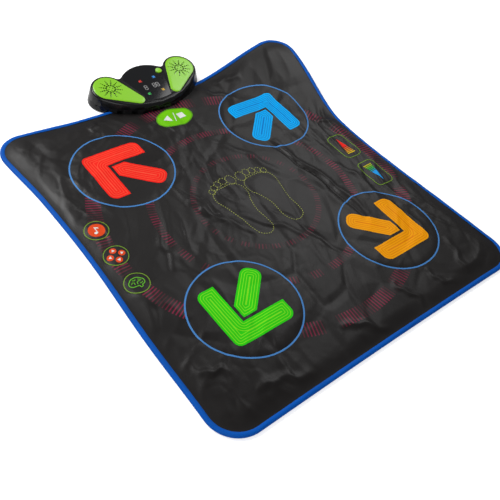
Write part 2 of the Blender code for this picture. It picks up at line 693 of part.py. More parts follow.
def make_lower_housing():
    outer = [wall_ring(BASE_Z, 0.001), wall_ring(BASE_Z + 0.0015, 0), wall_ring(SPLIT_Z, 0)]
    body = loft("lower_housing", outer, triangles=True)
    inner = [wall_ring(BASE_Z + FLOOR, WALL), wall_ring(SPLIT_Z + 3 * GAP, WALL)]
    room = loft("lower_room", inner, triangles=True)
    reach = LOBE_X + LOBE_RADIUS + 2 * DRAFT
    front = CONSOLE_Y - FRONT_RADIUS
    step_y = waisted(reach, MAT_DEPTH / 2)[1] + STEP_CLEARANCE
    raised = block("front_floor", (-reach, front, -0.01), (reach, step_y + WALL, FRONT_FLOOR_Z + FLOOR))
    cut(room, raised)
    cut(body, room)
    cut(body, block("mat_step", (-reach, front, -0.01), (reach, step_y, FRONT_FLOOR_Z)))

    x0, x1, y0, y1 = bay_box()
    u0, u1, v0, v1 = bay_box(BAY_WALL)
    bay = block("bay_walls", (u0, v0, BASE_Z + FLOOR / 2), (u1, v1, SPLIT_Z - 0.001))
    cut(bay, block("bay_room", (x0, y0, 0), (x1, y1, 0.05)))
    screw = door_screw_place()
    screw_boss = rod("door_boss", screw, 0.0046, BASE_Z + DOOR_THICKNESS + GAP, SPLIT_Z - 0.0016, 12)
    boss_web = block(
        "door_boss_web",
        (-0.002, v1 - BAY_WALL / 2, BASE_Z + DOOR_THICKNESS + GAP),
        (0.002, screw[1], SPLIT_Z - 0.0026),
    )
    floor_top = BASE_Z + FLOOR / 2
    pads = [
        rod(f"screw_pad_{i}", spot, 0.0052, floor_top, screw_pad_top(), 12)
        for i, spot in enumerate(housing_screw_places())
    ]
    bosses = [
        rod(f"mat_boss_{i}", spot, MAT_BOSS_RADIUS, FRONT_FLOOR_Z + FLOOR / 2, SPLIT_Z - 0.0005, 12)
        for i, spot in enumerate(MAT_SCREWS)
    ]
    join(body, bay, screw_boss, boss_web, *pads, *bosses)

    door_hole = slab("door_hole", [door_outline(DOOR_GAP)], -0.01, BASE_Z + DOOR_THICKNESS + GAP)
    bay_hole = block(
        "bay_hole",
        (u0 + BAY_WALL * 2, y0 + BAY_WALL / 2, 0),
        (u1 - BAY_WALL * 2, y1 - BAY_WALL / 2, 0.006),
    )
    cut(body, door_hole, bay_hole)
    for side in (-1, 1):
        x = side * DOOR_TAB_X
        half = DOOR_TAB[0] / 2 + DOOR_GAP
        tab_hole = block(
            f"tab_hole_{side}",
            (x - half, door_box()[2] - DOOR_TAB[1] - 0.001, BASE_Z + 0.001),
            (x + half, y0 + BAY_WALL, BASE_Z + FLOOR + DOOR_TAB[2] + 0.0045),
        )
        spot = (side * FOOT_PLACE[0], FOOT_PLACE[1])
        foot_seat = rod(f"foot_seat_{side}", spot, FOOT_RADIUS + SEAT_GAP, 0, BASE_Z + FOOT_SEAT, 16)
        cut(body, tab_hole, foot_seat)
    cut(body, rod("door_screw_hole", screw, SCREW_RADIUS + 0.0011, 0, BASE_Z + 0.0125, 10))
    for i, spot in enumerate(housing_screw_places()):
        head_end = BASE_Z + SCREW_HEAD[1] + 2 * GAP
        head = rod(f"head_room_{i}", spot, SCREW_HEAD[0] + 2 * GAP, 0, head_end, 12)
        shank = rod(f"shank_room_{i}", spot, SCREW_RADIUS + SCREW_HOLE_GAP, 0, 0.02, 8)
        cut(body, head, shank)
    for i, spot in enumerate(MAT_SCREWS):
        hole_radius = MAT_SCREW_RADIUS + SCREW_HOLE_GAP
        cut(body, rod(f"boss_hole_{i}", spot, hole_radius, 0, MAT_SCREW_TOP + GAP, 8))
    cut(body, slab("tail_way", [tail_slot()], 0, 0.012))
    place(smooth(body), "black_plastic")


# ---------------------------------------------------------------- console front pieces
def make_speaker_grilles():
    for side, word in ((-1, "left"), (1, "right")):
        low, high = -SEAT_DEPTH + GAP, GRILLE_PROUD
        outline = teardrop(side, 0)
        grille = slab(f"{word}_speaker_grille", [outline], low, high)
        centre = (side * LOBE_X, 0.0)
        for ring, (radius, hole) in enumerate(GRILLE_RINGS):
            turn = (ring % 2) * 180 / GRILLE_SPOKES
            spots = arc(centre, radius, turn, turn + 360, GRILLE_SPOKES)[:-1]
            rounds = [circle(spot, hole, 6) for spot in spots]
            holes = slab(f"{word}_holes_{ring}", rounds, low - 0.001, high + 0.001)
            cut(grille, holes)
        place(grille, "green_plastic", TOP)


def make_display_window():
    hole = circle(BUTTON_PLACE, BUTTON_RADIUS + 2 * SEAT_GAP, 20)
    window = plate("display_window", [window_outline(0), hole], -SEAT_DEPTH + GAP, WINDOW_PROUD)
    place(window, "window", TOP)


def make_power_button():
    flange_top = -ROOF - GAP
    profile = [
        (0.0, BUTTON_PROUD),
        (BUTTON_RADIUS * 0.62, BUTTON_PROUD - 0.0002),
        (BUTTON_RADIUS * 0.90, BUTTON_PROUD - 0.0010),
        (BUTTON_RADIUS, BUTTON_PROUD - 0.0022),
        (BUTTON_RADIUS, flange_top),
        (BUTTON_FLANGE_RADIUS, flange_top),
        (BUTTON_FLANGE_RADIUS, flange_top - BUTTON_FLANGE),
        (0.0, flange_top - BUTTON_FLANGE),
    ]
    button = turned("power_button", profile, 20)
    button.location = (*BUTTON_PLACE, 0)
    place(button, "green_plastic", TOP)


# ---------------------------------------------------------------- electronics
def make_circuit_board():
    low, high = BOARD_TOP - BOARD_THICKNESS, BOARD_TOP
    middle, half = (BOARD_Y[0] + BOARD_Y[1]) / 2, (BOARD_Y[1] - BOARD_Y[0]) / 2
    edge = rounded_box((0, middle), BOARD_HALF_WIDTH, half, 0.003, 1)
    holes = [circle(peg, BOARD_PEG_RADIUS + SEAT_GAP, 8) for peg in BOARD_PEGS]
    place(plate("circuit_board", [edge, *holes], low, high), "board_green", TOP)


def make_board_parts():
    seat = BOARD_TOP + GAP
    for name, (x, digits) in DIGIT_PLACES.items():
        half = DIGIT_SIZE[0] * digits / 2
        low = (x - half, DIGIT_Y - DIGIT_SIZE[1] / 2, seat)
        place(block(name, low, (x + half, DIGIT_Y + DIGIT_SIZE[1] / 2, DIGIT_TOP)), "window", TOP)
    for name, (x, y) in LED_PLACES.items():
        profile = [
            (0.0, seat + 0.0080),
            (LED_RADIUS * 0.70, seat + 0.0073),
            (LED_RADIUS, seat + 0.0055),
            (LED_RADIUS, seat + 0.0010),
            (LED_RADIUS * 1.2, seat + 0.0010),
            (LED_RADIUS * 1.2, seat),
            (0.0, seat),
        ]
        led = turned(name, profile, 10)
        led.location = (x, y, 0)
        place(led, "clear_resin", TOP)

    button_foot = -ROOF - GAP - BUTTON_FLANGE
    plunger = button_foot - BUTTON_TRAVEL - GAP
    x, y = BUTTON_PLACE
    switch = block("power_switch", (x - 0.003, y - 0.003, seat), (x + 0.003, y + 0.003, seat + 0.0035))
    join(switch, hide(rod("switch_plunger", BUTTON_PLACE, 0.0017, seat + 0.003, plunger, 10), TOP))
    place(switch, "black_plastic", TOP)

    top = BOARD_TOP - BOARD_THICKNESS - GAP
    connector = block(
        "tail_connector",
        (-CONNECTOR_SIZE[0] / 2, CONNECTOR_Y - CONNECTOR_SIZE[1] / 2, top - CONNECTOR_SIZE[2]),
        (CONNECTOR_SIZE[0] / 2, CONNECTOR_Y + CONNECTOR_SIZE[1] / 2, top),
    )
    place(connector, "film", TOP)


def make_circuit_tail():
    """The printed film's tail: a foot on the lower film, then up through the slots to the board."""
    end = on_top(0, CONNECTOR_Y, BOARD_TOP - BOARD_THICKNESS - CONNECTOR_SIZE[2] - 2.5 * GAP)
    floor = SPACER_Z
    line = [
        (TAIL_Y - 0.0035, floor + TAIL_THICKNESS / 2),
        (TAIL_Y + 0.0005, floor + TAIL_THICKNESS / 2),
        (TAIL_Y + 0.0018, floor + 0.0020),
        (TAIL_Y + 0.0020, FRONT_FLOOR_Z + FLOOR),
        (end.y - 0.0015, end.z - 0.0040),
        (end.y, end.z),
    ]
    outline = thick_line(line, TAIL_THICKNESS)
    tail = plate("circuit_tail", [outline], -TAIL_WIDTH / 2, TAIL_WIDTH / 2)
    # The strip is drawn flat, as (y, z), and stood up so that its width runs along X.
    tail.rotation_euler = (math.pi / 2, 0, math.pi / 2)
    place(tail, "film")


def thick_line(line, thickness):
    """The outline of an open line drawn with a pen of that thickness."""
    left, right = [], []
    for i, point in enumerate(line):
        before, after = Vector(line[max(i - 1, 0)]), Vector(line[min(i + 1, len(line) - 1)])
        along = (after - before).normalized()
        side = Vector((-along.y, along.x)) * thickness / 2
        left.append(tuple(Vector(point) + side))
        right.append(tuple(Vector(point) - side))
    return left + right[::-1]


def make_speakers():
    flange = -ROOF - GAP
    back = flange - SPEAKER_DEPTH
    frame = [
        (CONE_RADIUS + 0.001, flange),
        (SPEAKER_RADIUS, flange),
        (SPEAKER_RADIUS, flange - 0.0012),
        (SPEAKER_RADIUS - 0.003, flange - 0.0012),
        (MAGNET_RADIUS, back + 0.0075),
        (MAGNET_RADIUS, back),
        (0.0, back),
        (0.0, back + 0.0085),
        (MAGNET_RADIUS - 0.002, back + 0.0085),
        (CONE_RADIUS + 0.001, flange),
    ]
    cone = [
        (0.0, flange - 0.0056),
        (0.0070, flange - 0.0070),
        (CONE_RADIUS - 0.0035, flange - 0.0012),
        (CONE_RADIUS - 0.0015, flange - 0.0004),
        (CONE_RADIUS, flange - 0.0008),
        (CONE_RADIUS - 0.0030, flange - 0.0020),
        (0.0070, flange - 0.0079),
        (0.0, flange - 0.0079),
    ]
    for side, word in ((-1, "left"), (1, "right")):
        for name, profile, finish in (
            (f"{word}_speaker_frame", frame, "steel"),
            (f"{word}_speaker_cone", cone, "cone_paper"),
        ):
            piece = turned(name, profile, 20)
            piece.location = (side * LOBE_X, 0, 0)
            place(piece, finish, TOP)


def make_speaker_leads():
    """A twisted pair from each magnet's side to the underside of the board, drawn as one lead."""
    board_under = BOARD_TOP - BOARD_THICKNESS - GAP
    radius = 0.0008
    back = -ROOF - GAP - SPEAKER_DEPTH
    for side, word in ((-1, "left"), (1, "right")):
        data = bpy.data.curves.new(f"{word}_speaker_lead", "CURVE")
        data.dimensions = "3D"
        data.bevel_depth = radius
        data.bevel_resolution = 1
        data.use_fill_caps = True
        start = Vector((side * (LOBE_X - MAGNET_RADIUS - GAP), -0.004, back + 0.003))
        end = Vector((side * (BOARD_HALF_WIDTH - 0.006), -0.020, board_under))
        ways = [start, start + Vector((-side * 0.014, -0.002, -0.001)), end - Vector((0, 0, 0.010)), end]
        spline = data.splines.new("POLY")
        steps = 10
        spline.points.add(steps)
        for i, point in enumerate(spline.points):
            point.co = (*bezier(ways, i / steps), 1)
        place(bpy.data.objects.new(f"{word}_speaker_lead", data), "wire", TOP)


def bezier(ways, share):
    """A point on the cubic through four handles."""
    a, b, c, d = ways
    rest = 1 - share
    return a * rest**3 + b * 3 * rest**2 * share + c * 3 * rest * share**2 + d * share**3


# ---------------------------------------------------------------- batteries
def cell_places():
    return [CELLS_Y + (i - (CELLS - 1) / 2) * CELL_PITCH for i in range(CELLS)]


def make_cells():
    """The cells lie along X and point opposite ways in turn."""
    half = CELL_LENGTH / 2
    profile = [
        (0.0, half + CELL_NUB[1]),
        (CELL_NUB[0], half + CELL_NUB[1]),
        (CELL_NUB[0], half),
        (CELL_RADIUS, half),
        (CELL_RADIUS, -half),
        (0.0, -half),
    ]
    for i, y in enumerate(cell_places()):
        cell = turned(f"battery_{i + 1}", profile, 16)
        cell.rotation_euler = (0, math.pi / 2 * (1 if i % 2 == 0 else -1), 0)
        cell.location = (0, y, CELL_Z)
        place(cell, "cell_jacket")


def make_battery_contacts():
    """Two single plates and two that link a cell to the next, with a bump at each flat end."""
    ys = cell_places()
    outer = bay_box()[1] - 2 * GAP
    half = CELL_LENGTH / 2
    plates = {
        "positive_contact": (1, [(ys[0], False)]),
        "right_link_contact": (1, [(ys[1], True), (ys[2], False)]),
        "left_link_contact": (-1, [(ys[0], True), (ys[1], False)]),
        "negative_contact": (-1, [(ys[2], True)]),
    }
    for name, (side, cells) in plates.items():
        low_y, high_y = cells[0][0] - CONTACT_HEIGHT / 2, cells[-1][0] + CONTACT_HEIGHT / 2
        edges = sorted((side * outer, side * (outer - CONTACT_THICKNESS)))
        low = (edges[0], low_y, CELL_Z - CONTACT_HEIGHT / 2)
        contact = block(name, low, (edges[1], high_y, CELL_Z + CONTACT_HEIGHT / 2))
        for y, flat_end in cells:
            reach = half + GAP if flat_end else half + CELL_NUB[1] + GAP
            bump = rod(f"{name}_bump", (0, 0), 0.002, reach, outer - CONTACT_THICKNESS / 2, 8)
            bump.rotation_euler = (0, side * math.pi / 2, 0)
            bump.location = (0, y, CELL_Z)
            join(contact, bump)
        place(contact, "nickel")


def make_battery_door():
    high = BASE_Z + DOOR_THICKNESS
    door = slab("battery_door", [door_outline(0)], BASE_Z, high)
    front = door_box()[2]
    for side in (-1, 1):
        x = side * DOOR_TAB_X
        low_x, high_x = x - DOOR_TAB[0] / 2, x + DOOR_TAB[0] / 2
        under, over = BASE_Z + FLOOR + GAP, BASE_Z + FLOOR + GAP + DOOR_TAB[2]
        root = block(f"tab_root_{side}", (low_x, front, high - 0.0005), (high_x, front + 0.0015, over))
        tab_front = front - DOOR_TAB[1] + 0.001
        tab = block(f"tab_{side}", (low_x, tab_front, under), (high_x, front + 0.001, over))
        join(door, root, tab)
    cut(door, rod("door_screw_way", door_screw_place(), SCREW_RADIUS + SCREW_HOLE_GAP, 0, 0.01, 8))
    seat = rod("door_head_seat", door_screw_place(), SCREW_HEAD[0] + GAP, 0, BASE_Z + 0.0008, 12)
    cut(door, seat)
    place(door, "black_plastic")


# ---------------------------------------------------------------- fasteners and feet
def screw_profile(head, radius, seat, top):
    """A pan head below the seat and a pointed shank above it, listed from the top down."""
    head_radius, head_height = head
    return [
        (0.0, top),
        (radius * 0.5, top - radius),
        (radius, top - 2 * radius),
        (radius, seat),
        (head_radius, seat),
        (head_radius, seat - head_height * 0.5),
        (head_radius * 0.7, seat - head_height),
        (0.0, seat - head_height),
    ]


def make_screws():
    seat = BASE_Z + SCREW_HEAD[1] + GAP
    profile = screw_profile(SCREW_HEAD, SCREW_RADIUS, seat, screw_top())
    for i, spot in enumerate(housing_screw_places()):
        screw = turned(f"housing_screw_{i + 1}", profile, 10)
        screw.location = (*spot, 0)
        place(screw, "steel")

    seat = BASE_SHEET + GAP / 2
    profile = screw_profile(MAT_SCREW_HEAD, MAT_SCREW_RADIUS, seat, MAT_SCREW_TOP)
    for i, spot in enumerate(MAT_SCREWS):
        screw = turned(f"mat_screw_{i + 1}", profile, 10)
        screw.location = (*spot, 0)
        place(screw, "steel")

    door_head = (SCREW_HEAD[0], 0.0010)
    seat = BASE_Z + 0.0008 - GAP
    profile = screw_profile(door_head, SCREW_RADIUS, seat, BASE_Z + 0.0095)
    screw = turned("battery_door_screw", profile, 10)
    screw.location = (*door_screw_place(), 0)
    place(screw, "steel")


def make_feet():
    for side, word in ((-1, "left"), (1, "right")):
        top = BASE_Z + FOOT_SEAT - GAP
        profile = [
            (0.0, top),
            (FOOT_RADIUS, top),
            (FOOT_RADIUS, 0.0006),
            (FOOT_RADIUS - 0.0008, 0.0),
            (0.0, 0.0),
        ]
        foot = turned(f"{word}_rubber_foot", profile, 16)
        foot.location = (side * FOOT_PLACE[0], FOOT_PLACE[1], 0)
        place(foot, "rubber")


def main():
    make_mat()
    make_edge_binding()
    make_touch_pads()
    make_pad_foams()
    make_upper_housing()
    make_lower_housing()
    make_speaker_grilles()
    make_display_window()
    make_power_button()
    make_circuit_board()
    make_board_parts()
    make_circuit_tail()
    make_speakers()
    make_speaker_leads()
    make_cells()
    make_battery_contacts()
    make_battery_door()
    make_screws()
    make_feet()


main()
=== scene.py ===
# %% [markdown]
# # A dance rhythm machine
#
# The real object is a soft mat of coated cloth, bound with blue tape, with ten touch pads printed on it
# and a small plastic console screwed to its back edge. Its construction is already fixed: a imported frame
# holds every solid at its real size. This lesson gives those solids their looks.
#
# Soft things and hard things need different ways. The cloth is made as flat sheets of fine triangles that
# are laid in creases afterwards. The console is made from the frame's own shells, smoothed, with finer
# covers on top.

import json
import math

import bmesh
import bpy
import numpy as np
from mathutils import Matrix, Vector, noise
from mathutils.bvhtree import BVHTree
from mathutils.geometry import delaunay_2d_cdt


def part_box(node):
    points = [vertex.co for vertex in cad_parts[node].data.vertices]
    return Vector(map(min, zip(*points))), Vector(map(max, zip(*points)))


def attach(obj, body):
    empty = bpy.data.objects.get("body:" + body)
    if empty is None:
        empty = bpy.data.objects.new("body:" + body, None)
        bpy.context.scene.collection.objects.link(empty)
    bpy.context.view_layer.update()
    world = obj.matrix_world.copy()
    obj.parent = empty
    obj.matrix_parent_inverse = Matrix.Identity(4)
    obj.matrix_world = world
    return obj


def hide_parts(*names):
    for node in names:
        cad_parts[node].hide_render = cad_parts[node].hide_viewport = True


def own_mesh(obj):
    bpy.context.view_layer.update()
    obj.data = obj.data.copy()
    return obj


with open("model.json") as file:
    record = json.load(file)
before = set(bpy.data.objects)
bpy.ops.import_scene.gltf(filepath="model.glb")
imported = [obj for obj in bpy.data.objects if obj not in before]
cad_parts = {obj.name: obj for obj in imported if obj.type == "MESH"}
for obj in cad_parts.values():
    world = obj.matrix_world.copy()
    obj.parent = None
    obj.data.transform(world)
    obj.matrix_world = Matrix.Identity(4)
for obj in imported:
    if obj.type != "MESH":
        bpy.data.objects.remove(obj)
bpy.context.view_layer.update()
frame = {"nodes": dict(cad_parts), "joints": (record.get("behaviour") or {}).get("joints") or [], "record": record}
nodes = frame["nodes"]
MAT_BODY = "mat_and_console"

# %% [markdown]
# ## Places that the frame gives
#
# A pad's middle and size come from its box, and the slope of the console's top comes from the way its
# button is pressed. Only the mat's outline needs values of its own: a rectangle with round corners whose
# edges draw in.

# %% Places
MAT_WIDTH = 0.905
MAT_DEPTH = 0.955
CORNER_RADIUS = 0.079
SIDE_WAIST = 0.018
FRONT_WAIST = 0.004
BACK_WAIST = 0.022

cover_low, cover_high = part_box("top_cover")
COVER_TOP = cover_high.z
CLOTH = cover_high.z - cover_low.z  # thickness of the coated cloth


def middle(node):
    low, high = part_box(node)
    return (low + high) / 2


def half_size(node):
    low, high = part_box(node)
    return (high - low) / 2


press = next(joint for joint in frame["joints"] if joint["name"] == "power_press")["axis"]
TOP_SLOPE = math.atan2(press[1], -press[2])
CONSOLE_Y = MAT_DEPTH / 2 + 0.0245  # its middle stands this far behind the mat's edge
TOP_Z = 0.0425  # the height of its sloping top there
TOP = Matrix.Translation((0, CONSOLE_Y, TOP_Z)) @ Matrix.Rotation(TOP_SLOPE, 4, "X")
LOBE_X = (middle("right_speaker_cone").x - middle("left_speaker_cone").x) / 2
print("console top slopes", round(math.degrees(TOP_SLOPE), 1), "degrees, speakers at", round(LOBE_X, 4))


# %% [markdown]
# ## Outlines
#
# An outline is a list of points going round a shape. Arcs and straight runs are enough for all of them
# here.

# %% Outline helpers
def tenths(*rows):
    """Rows of numbers given in tenths of a millimetre, in metres."""
    return [tuple(value / 10000 for value in row) for row in rows]


def arc(centre, radius, start_deg, end_deg, steps):
    angles = [math.radians(start_deg + (end_deg - start_deg) * i / steps) for i in range(steps + 1)]
    return [(centre[0] + radius * math.cos(a), centre[1] + radius * math.sin(a)) for a in angles]


def ellipse(centre, half_x, half_y, steps):
    return [(centre[0] + half_x * x, centre[1] + half_y * y) for x, y in arc((0, 0), 1, 0, 360, steps)[:-1]]


def rounded_box(centre, half_x, half_y, radius, steps=6):
    points = []
    for sign_x, sign_y, start in ((1, 1, 0), (-1, 1, 90), (-1, -1, 180), (1, -1, 270)):
        corner = (centre[0] + sign_x * (half_x - radius), centre[1] + sign_y * (half_y - radius))
        points += arc(corner, radius, start, start + 90, steps)
    return points


def evenly(points, step):
    """The same closed outline with a point every step or less, its corners kept."""
    out = []
    for (x0, y0), (x1, y1) in zip(points, points[1:] + points[:1]):
        count = max(1, math.ceil(math.hypot(x1 - x0, y1 - y0) / step - 1e-6))
        out += [(x0 + (x1 - x0) * i / count, y0 + (y1 - y0) * i / count) for i in range(count)]
    return out


def mat_outline(inset, step=0.004):
    """The mat's edge, moved in by the inset. Outlines of any inset have as many points."""
    across, along = MAT_WIDTH / 2 - inset, MAT_DEPTH / 2 - inset
    corner_steps = round(CORNER_RADIUS * math.pi / 2 / step)
    side_steps = round((MAT_DEPTH - 2 * CORNER_RADIUS) / step)
    box = rounded_box((0, 0), across, along, CORNER_RADIUS - inset, corner_steps)
    points = []
    for i, (x, y) in enumerate(box):
        points.append((x, y))
        if (i + 1) % (corner_steps + 1) == 0:
            next_x, next_y = box[(i + 1) % len(box)]
            shares = [k / side_steps for k in range(1, side_steps)]
            points += [(x + (next_x - x) * s, y + (next_y - y) * s) for s in shares]
    return [waisted(x, y) for x, y in points]


def waisted(x, y):
    across, along = x / (MAT_WIDTH / 2), y / (MAT_DEPTH / 2)
    end_waist = BACK_WAIST if y > 0 else FRONT_WAIST
    return x - SIDE_WAIST * across * (1 - along**2), y - end_waist * along * (1 - across**2)


EDGE = mat_outline(0, 0.012)
print("the mat's edge in coarse steps:", len(EDGE), "points")


# %% [markdown]
# ## How the cloth lies
#
# Two things bend the mat. The whole stack of layers lifts and pulls outward at its back right corner and
# draws in along its right edge, as a mat does that was folded in its box. The thin cover alone has
# creases. Both are functions of a point's place in the plan, so sheets, pads and prints made apart still
# fit each other.

# %% The lie of the whole stack
def smooth_step(value):
    value = min(max(value, 0.0), 1.0)
    return value * value * (3 - 2 * value)


CURL_START = 0.560  # x + y where the corner begins to lift
CURL_REACH = 0.320
CURL_HEIGHT = 0.044
CURL_OUT = 0.026
PULL_IN = 0.021  # how far the right edge is drawn in
RIGHT_SLACK = 0.006  # and how far the whole of it is
LEFT_BULGE = 0.011  # how far the left edge is pushed out near the front
LEFT_CORNER = 0.006


def stack_offset(x, y):
    """How far every layer is moved at a place in the plan."""
    curl = smooth_step((x + y - CURL_START) / CURL_REACH)
    right, left, back = max(x, 0) / (MAT_WIDTH / 2), max(-x, 0) / (MAT_WIDTH / 2), y / (MAT_DEPTH / 2)
    pull = right**4 * (1 - curl) * (PULL_IN * math.exp(-(((back - 0.12) / 0.50) ** 2)) + RIGHT_SLACK)
    push = left**4 * LEFT_BULGE * math.exp(-(((back + 0.40) / 0.38) ** 2))
    corner = LEFT_CORNER * smooth_step((y - x - 0.68) / 0.16)
    out = CURL_OUT * curl
    return Vector((out - pull - push - corner, 0.9 * out + corner, CURL_HEIGHT * curl))


print("the corner rises", round(stack_offset(0.43, 0.455).z, 4))

# %% The creases of the cover
# Each fold: start, end, half width, height. A negative height is a valley beside its neighbour ridge.
FOLDS = tenths(
    (1720, 1650, 2050, -1900, 50, -48), (1840, 1600, 2170, -1800, 85, 42), (1600, 1600, 1920, -1800, 100, 16),
    (-200, 3300, -1500, 600, 100, 20), (-1600, 1400, -900, -800, 80, 26), (-1480, 1400, -800, -900, 50, -18),
    (-600, -200, 600, -2000, 80, 22), (100, -300, 850, -2600, 45, -18), (300, 2500, 1200, 500, 90, 22),
    (-2500, 600, -3000, -900, 90, 20), (-3300, -2000, -4200, -600, 120, 26),
    (-3300, -4000, -2000, -4400, 100, 30),
    (-4050, -3000, -3450, -3500, 80, 34), (-800, -3800, 200, -4550, 80, 30),
    (1100, -3600, 1300, -4550, 70, 28),
    (2000, -3800, 2400, -4550, 70, 26), (3300, -3300, 3000, -4500, 70, 24), (3400, 1800, 4200, 1200, 80, 28),
    (1200, 4400, 2000, 3400, 80, 34), (1600, 4500, 2600, 4000, 90, 34), (-1800, 4400, -2300, 3900, 90, 26),
    (2700, 200, 3000, -1100, 90, 22), (-100, 1900, -400, 600, 60, 18),
)
LOOSE = 0.0014  # how high the cover floats over the layer below
CRUMPLE = 0.0038  # the height of its small ridges and facets
LEAN_COS, LEAN_SIN = 0.94, 0.34  # the ridges run about 20 degrees off the mat's length
HELD, HELD_REACH = 0.010, 0.042  # the width that is held at the binding, and how gently it comes free


def distance_to(points, loop):
    """Each point's distance to the nearest stretch of a closed outline."""
    starts = np.array(loop, float)
    runs = np.roll(starts, -1, 0) - starts
    lengths = np.maximum((runs**2).sum(1), 1e-18)
    best = np.full(len(points), 1e9)
    for start, run, length in zip(starts, runs, lengths):
        share = np.clip(((points - start) @ run) / length, 0, 1)
        away = points - start - share[:, None] * run
        best = np.minimum(best, (away**2).sum(1))
    return np.sqrt(best)


def fold_heights(points):
    height = np.zeros(len(points))
    for *ends, half_width, rise in FOLDS:
        start, run = np.array(ends[:2]), np.array(ends[2:]) - np.array(ends[:2])
        length = math.hypot(*run)
        along = ((points - start) @ run) / length**2
        wander = 0.006 * np.sin(along * 7 + rise * 9000) + 0.003 * np.sin(along * 17 + start[0] * 50)
        aside = ((points - start) @ np.array((-run[1], run[0]))) / length + wander
        taper = np.clip(1 - (2 * along - 1) ** 2, 0, 1)
        height += rise * np.exp(-((aside / half_width) ** 2)) * np.sqrt(taper) * (np.abs(along - 0.5) <= 0.5)
    return height


def crumple_heights(points):
    """Sharp little ridges, as thin coated cloth has where it was folded, with calm stretches between."""
    height = np.zeros(len(points))
    for i, (x, y) in enumerate(points):
        bend = noise.noise((x * 5.0, y * 4.0, 3.0))
        across, along = x * LEAN_COS - y * LEAN_SIN, x * LEAN_SIN + y * LEAN_COS
        ridges = 1 - abs(noise.noise((across * 17 + 2.2 * bend, along * 6.5, 1.0))) * 2
        fine = 1 - abs(noise.noise((across * 38, along * 21 + 3 * bend, 7.0))) * 2
        calm = smooth_step(0.5 + 1.6 * noise.noise((x * 4.5, y * 4.5, 9.0)))
        away = noise.voronoi((across * 9 + 0.5 * bend, along * 5.5 - 0.4 * bend, 0.3))[0]
        facet = min((away[1] - away[0]) / 0.22, 1.0)
        small = noise.voronoi((across * 24 + bend, along * 17, 5.3))[0]
        dent = min((small[1] - small[0]) / 0.25, 1.0)
        height[i] = 0.45 * facet + 0.60 * max(ridges, 0) ** 2 * (0.3 + 0.7 * calm)
        height[i] += (0.12 * dent + 0.10 * max(fine, 0) ** 3) * (0.2 + 0.8 * calm)
    return CRUMPLE * height


def cover_heights(points):
    """The cover's height over its flat place. It is held down at the binding."""
    points = np.array(points, float).reshape(-1, 2)
    held = np.clip((distance_to(points, EDGE) - HELD) / HELD_REACH, 0, 1)
    held = held * held * (3 - 2 * held)
    return held * np.maximum(LOOSE + fold_heights(points) + crumple_heights(points), 0.0001)


sample = cover_heights([(0, 0), (0.2, 0), (-0.3, -0.3), (0.1, 0.2)])
print("cover heights at four places, mm:", (sample * 1000).round(2))


# %% [markdown]
# ## Sheets of fine triangles
#
# A sheet with ten holes that must be exact could be cut with Booleans, but those leave long thin faces
# that crease badly. A constrained triangulation takes the outline, the holes and an even grid of points
# together, so every edge is exact and every face is small enough to bend. A few helpers for every piece
# come first.

# %% Helpers for every piece
def linked(name, data):
    """A new object of the scene that shows a mesh, a lamp or a camera."""
    made = bpy.data.objects.new(name, data)
    bpy.context.scene.collection.objects.link(made)
    return made


def new_piece(name, points, faces):
    data = bpy.data.meshes.new(name)
    data.from_pydata(points, [], faces)
    return linked(name, data)


def only(piece):
    """Selects one object alone, which is what an operator then works on."""
    bpy.ops.object.select_all(action="DESELECT")
    piece.select_set(True)
    bpy.context.view_layer.objects.active = piece


def modify(piece, title, kind, **settings):
    """Adds a modifier, sets it and applies it."""
    only(piece)
    made = piece.modifiers.new(title, kind)
    for key, value in settings.items():
        setattr(made, key, value)
    bpy.ops.object.modifier_apply(modifier=made.name)


def smooth(piece, degrees):
    """Shades a piece smooth, but keeps edges sharper than the angle crisp."""
    only(piece)
    bpy.ops.object.shade_smooth_by_angle(angle=math.radians(degrees))


def edited(piece, operator, **settings):
    """Runs an edit mode operator on the whole of a piece."""
    only(piece)
    bpy.ops.object.mode_set(mode="EDIT")
    bpy.ops.mesh.select_all(action="SELECT")
    operator(**settings)
    bpy.ops.object.mode_set(mode="OBJECT")


SOFT_ANGLE, TAPE_ANGLE, SHELL_ANGLE, KEY_ANGLE = 50, 60, 42, 40  # sharper edges stay crisp
DRUM_EDGE = 0.0008  # how far a drum's rim is rounded


def drum(name, radius, depth, centre):
    bpy.ops.object.select_all(action="DESELECT")
    bpy.ops.mesh.primitive_cylinder_add(vertices=64, radius=radius, depth=depth, location=centre)
    bpy.context.object.name = name
    bpy.ops.object.transform_apply()
    return bpy.context.object


print("piece helpers ready")


# %% Cloth helpers
def inside(points, loop):
    """Which points lie inside a closed outline."""
    x, y = points[:, 0], points[:, 1]
    found = np.zeros(len(points), bool)
    for (x0, y0), (x1, y1) in zip(loop, loop[1:] + loop[:1]):
        if y0 != y1:
            crosses = ((y0 > y) != (y1 > y)) & (x < (x1 - x0) * (y - y0) / (y1 - y0) + x0)
            found ^= crosses
    return found


def within(points, edge, holes):
    """Which points lie inside an edge and outside every hole."""
    found = inside(points, edge)
    for hole in holes:
        found &= ~inside(points, hole)
    return found


ROW_STEP = 0.87  # between the rows of an even grid, as a share of its step
CLEAR = 0.45  # and how far the grid stays from an edge


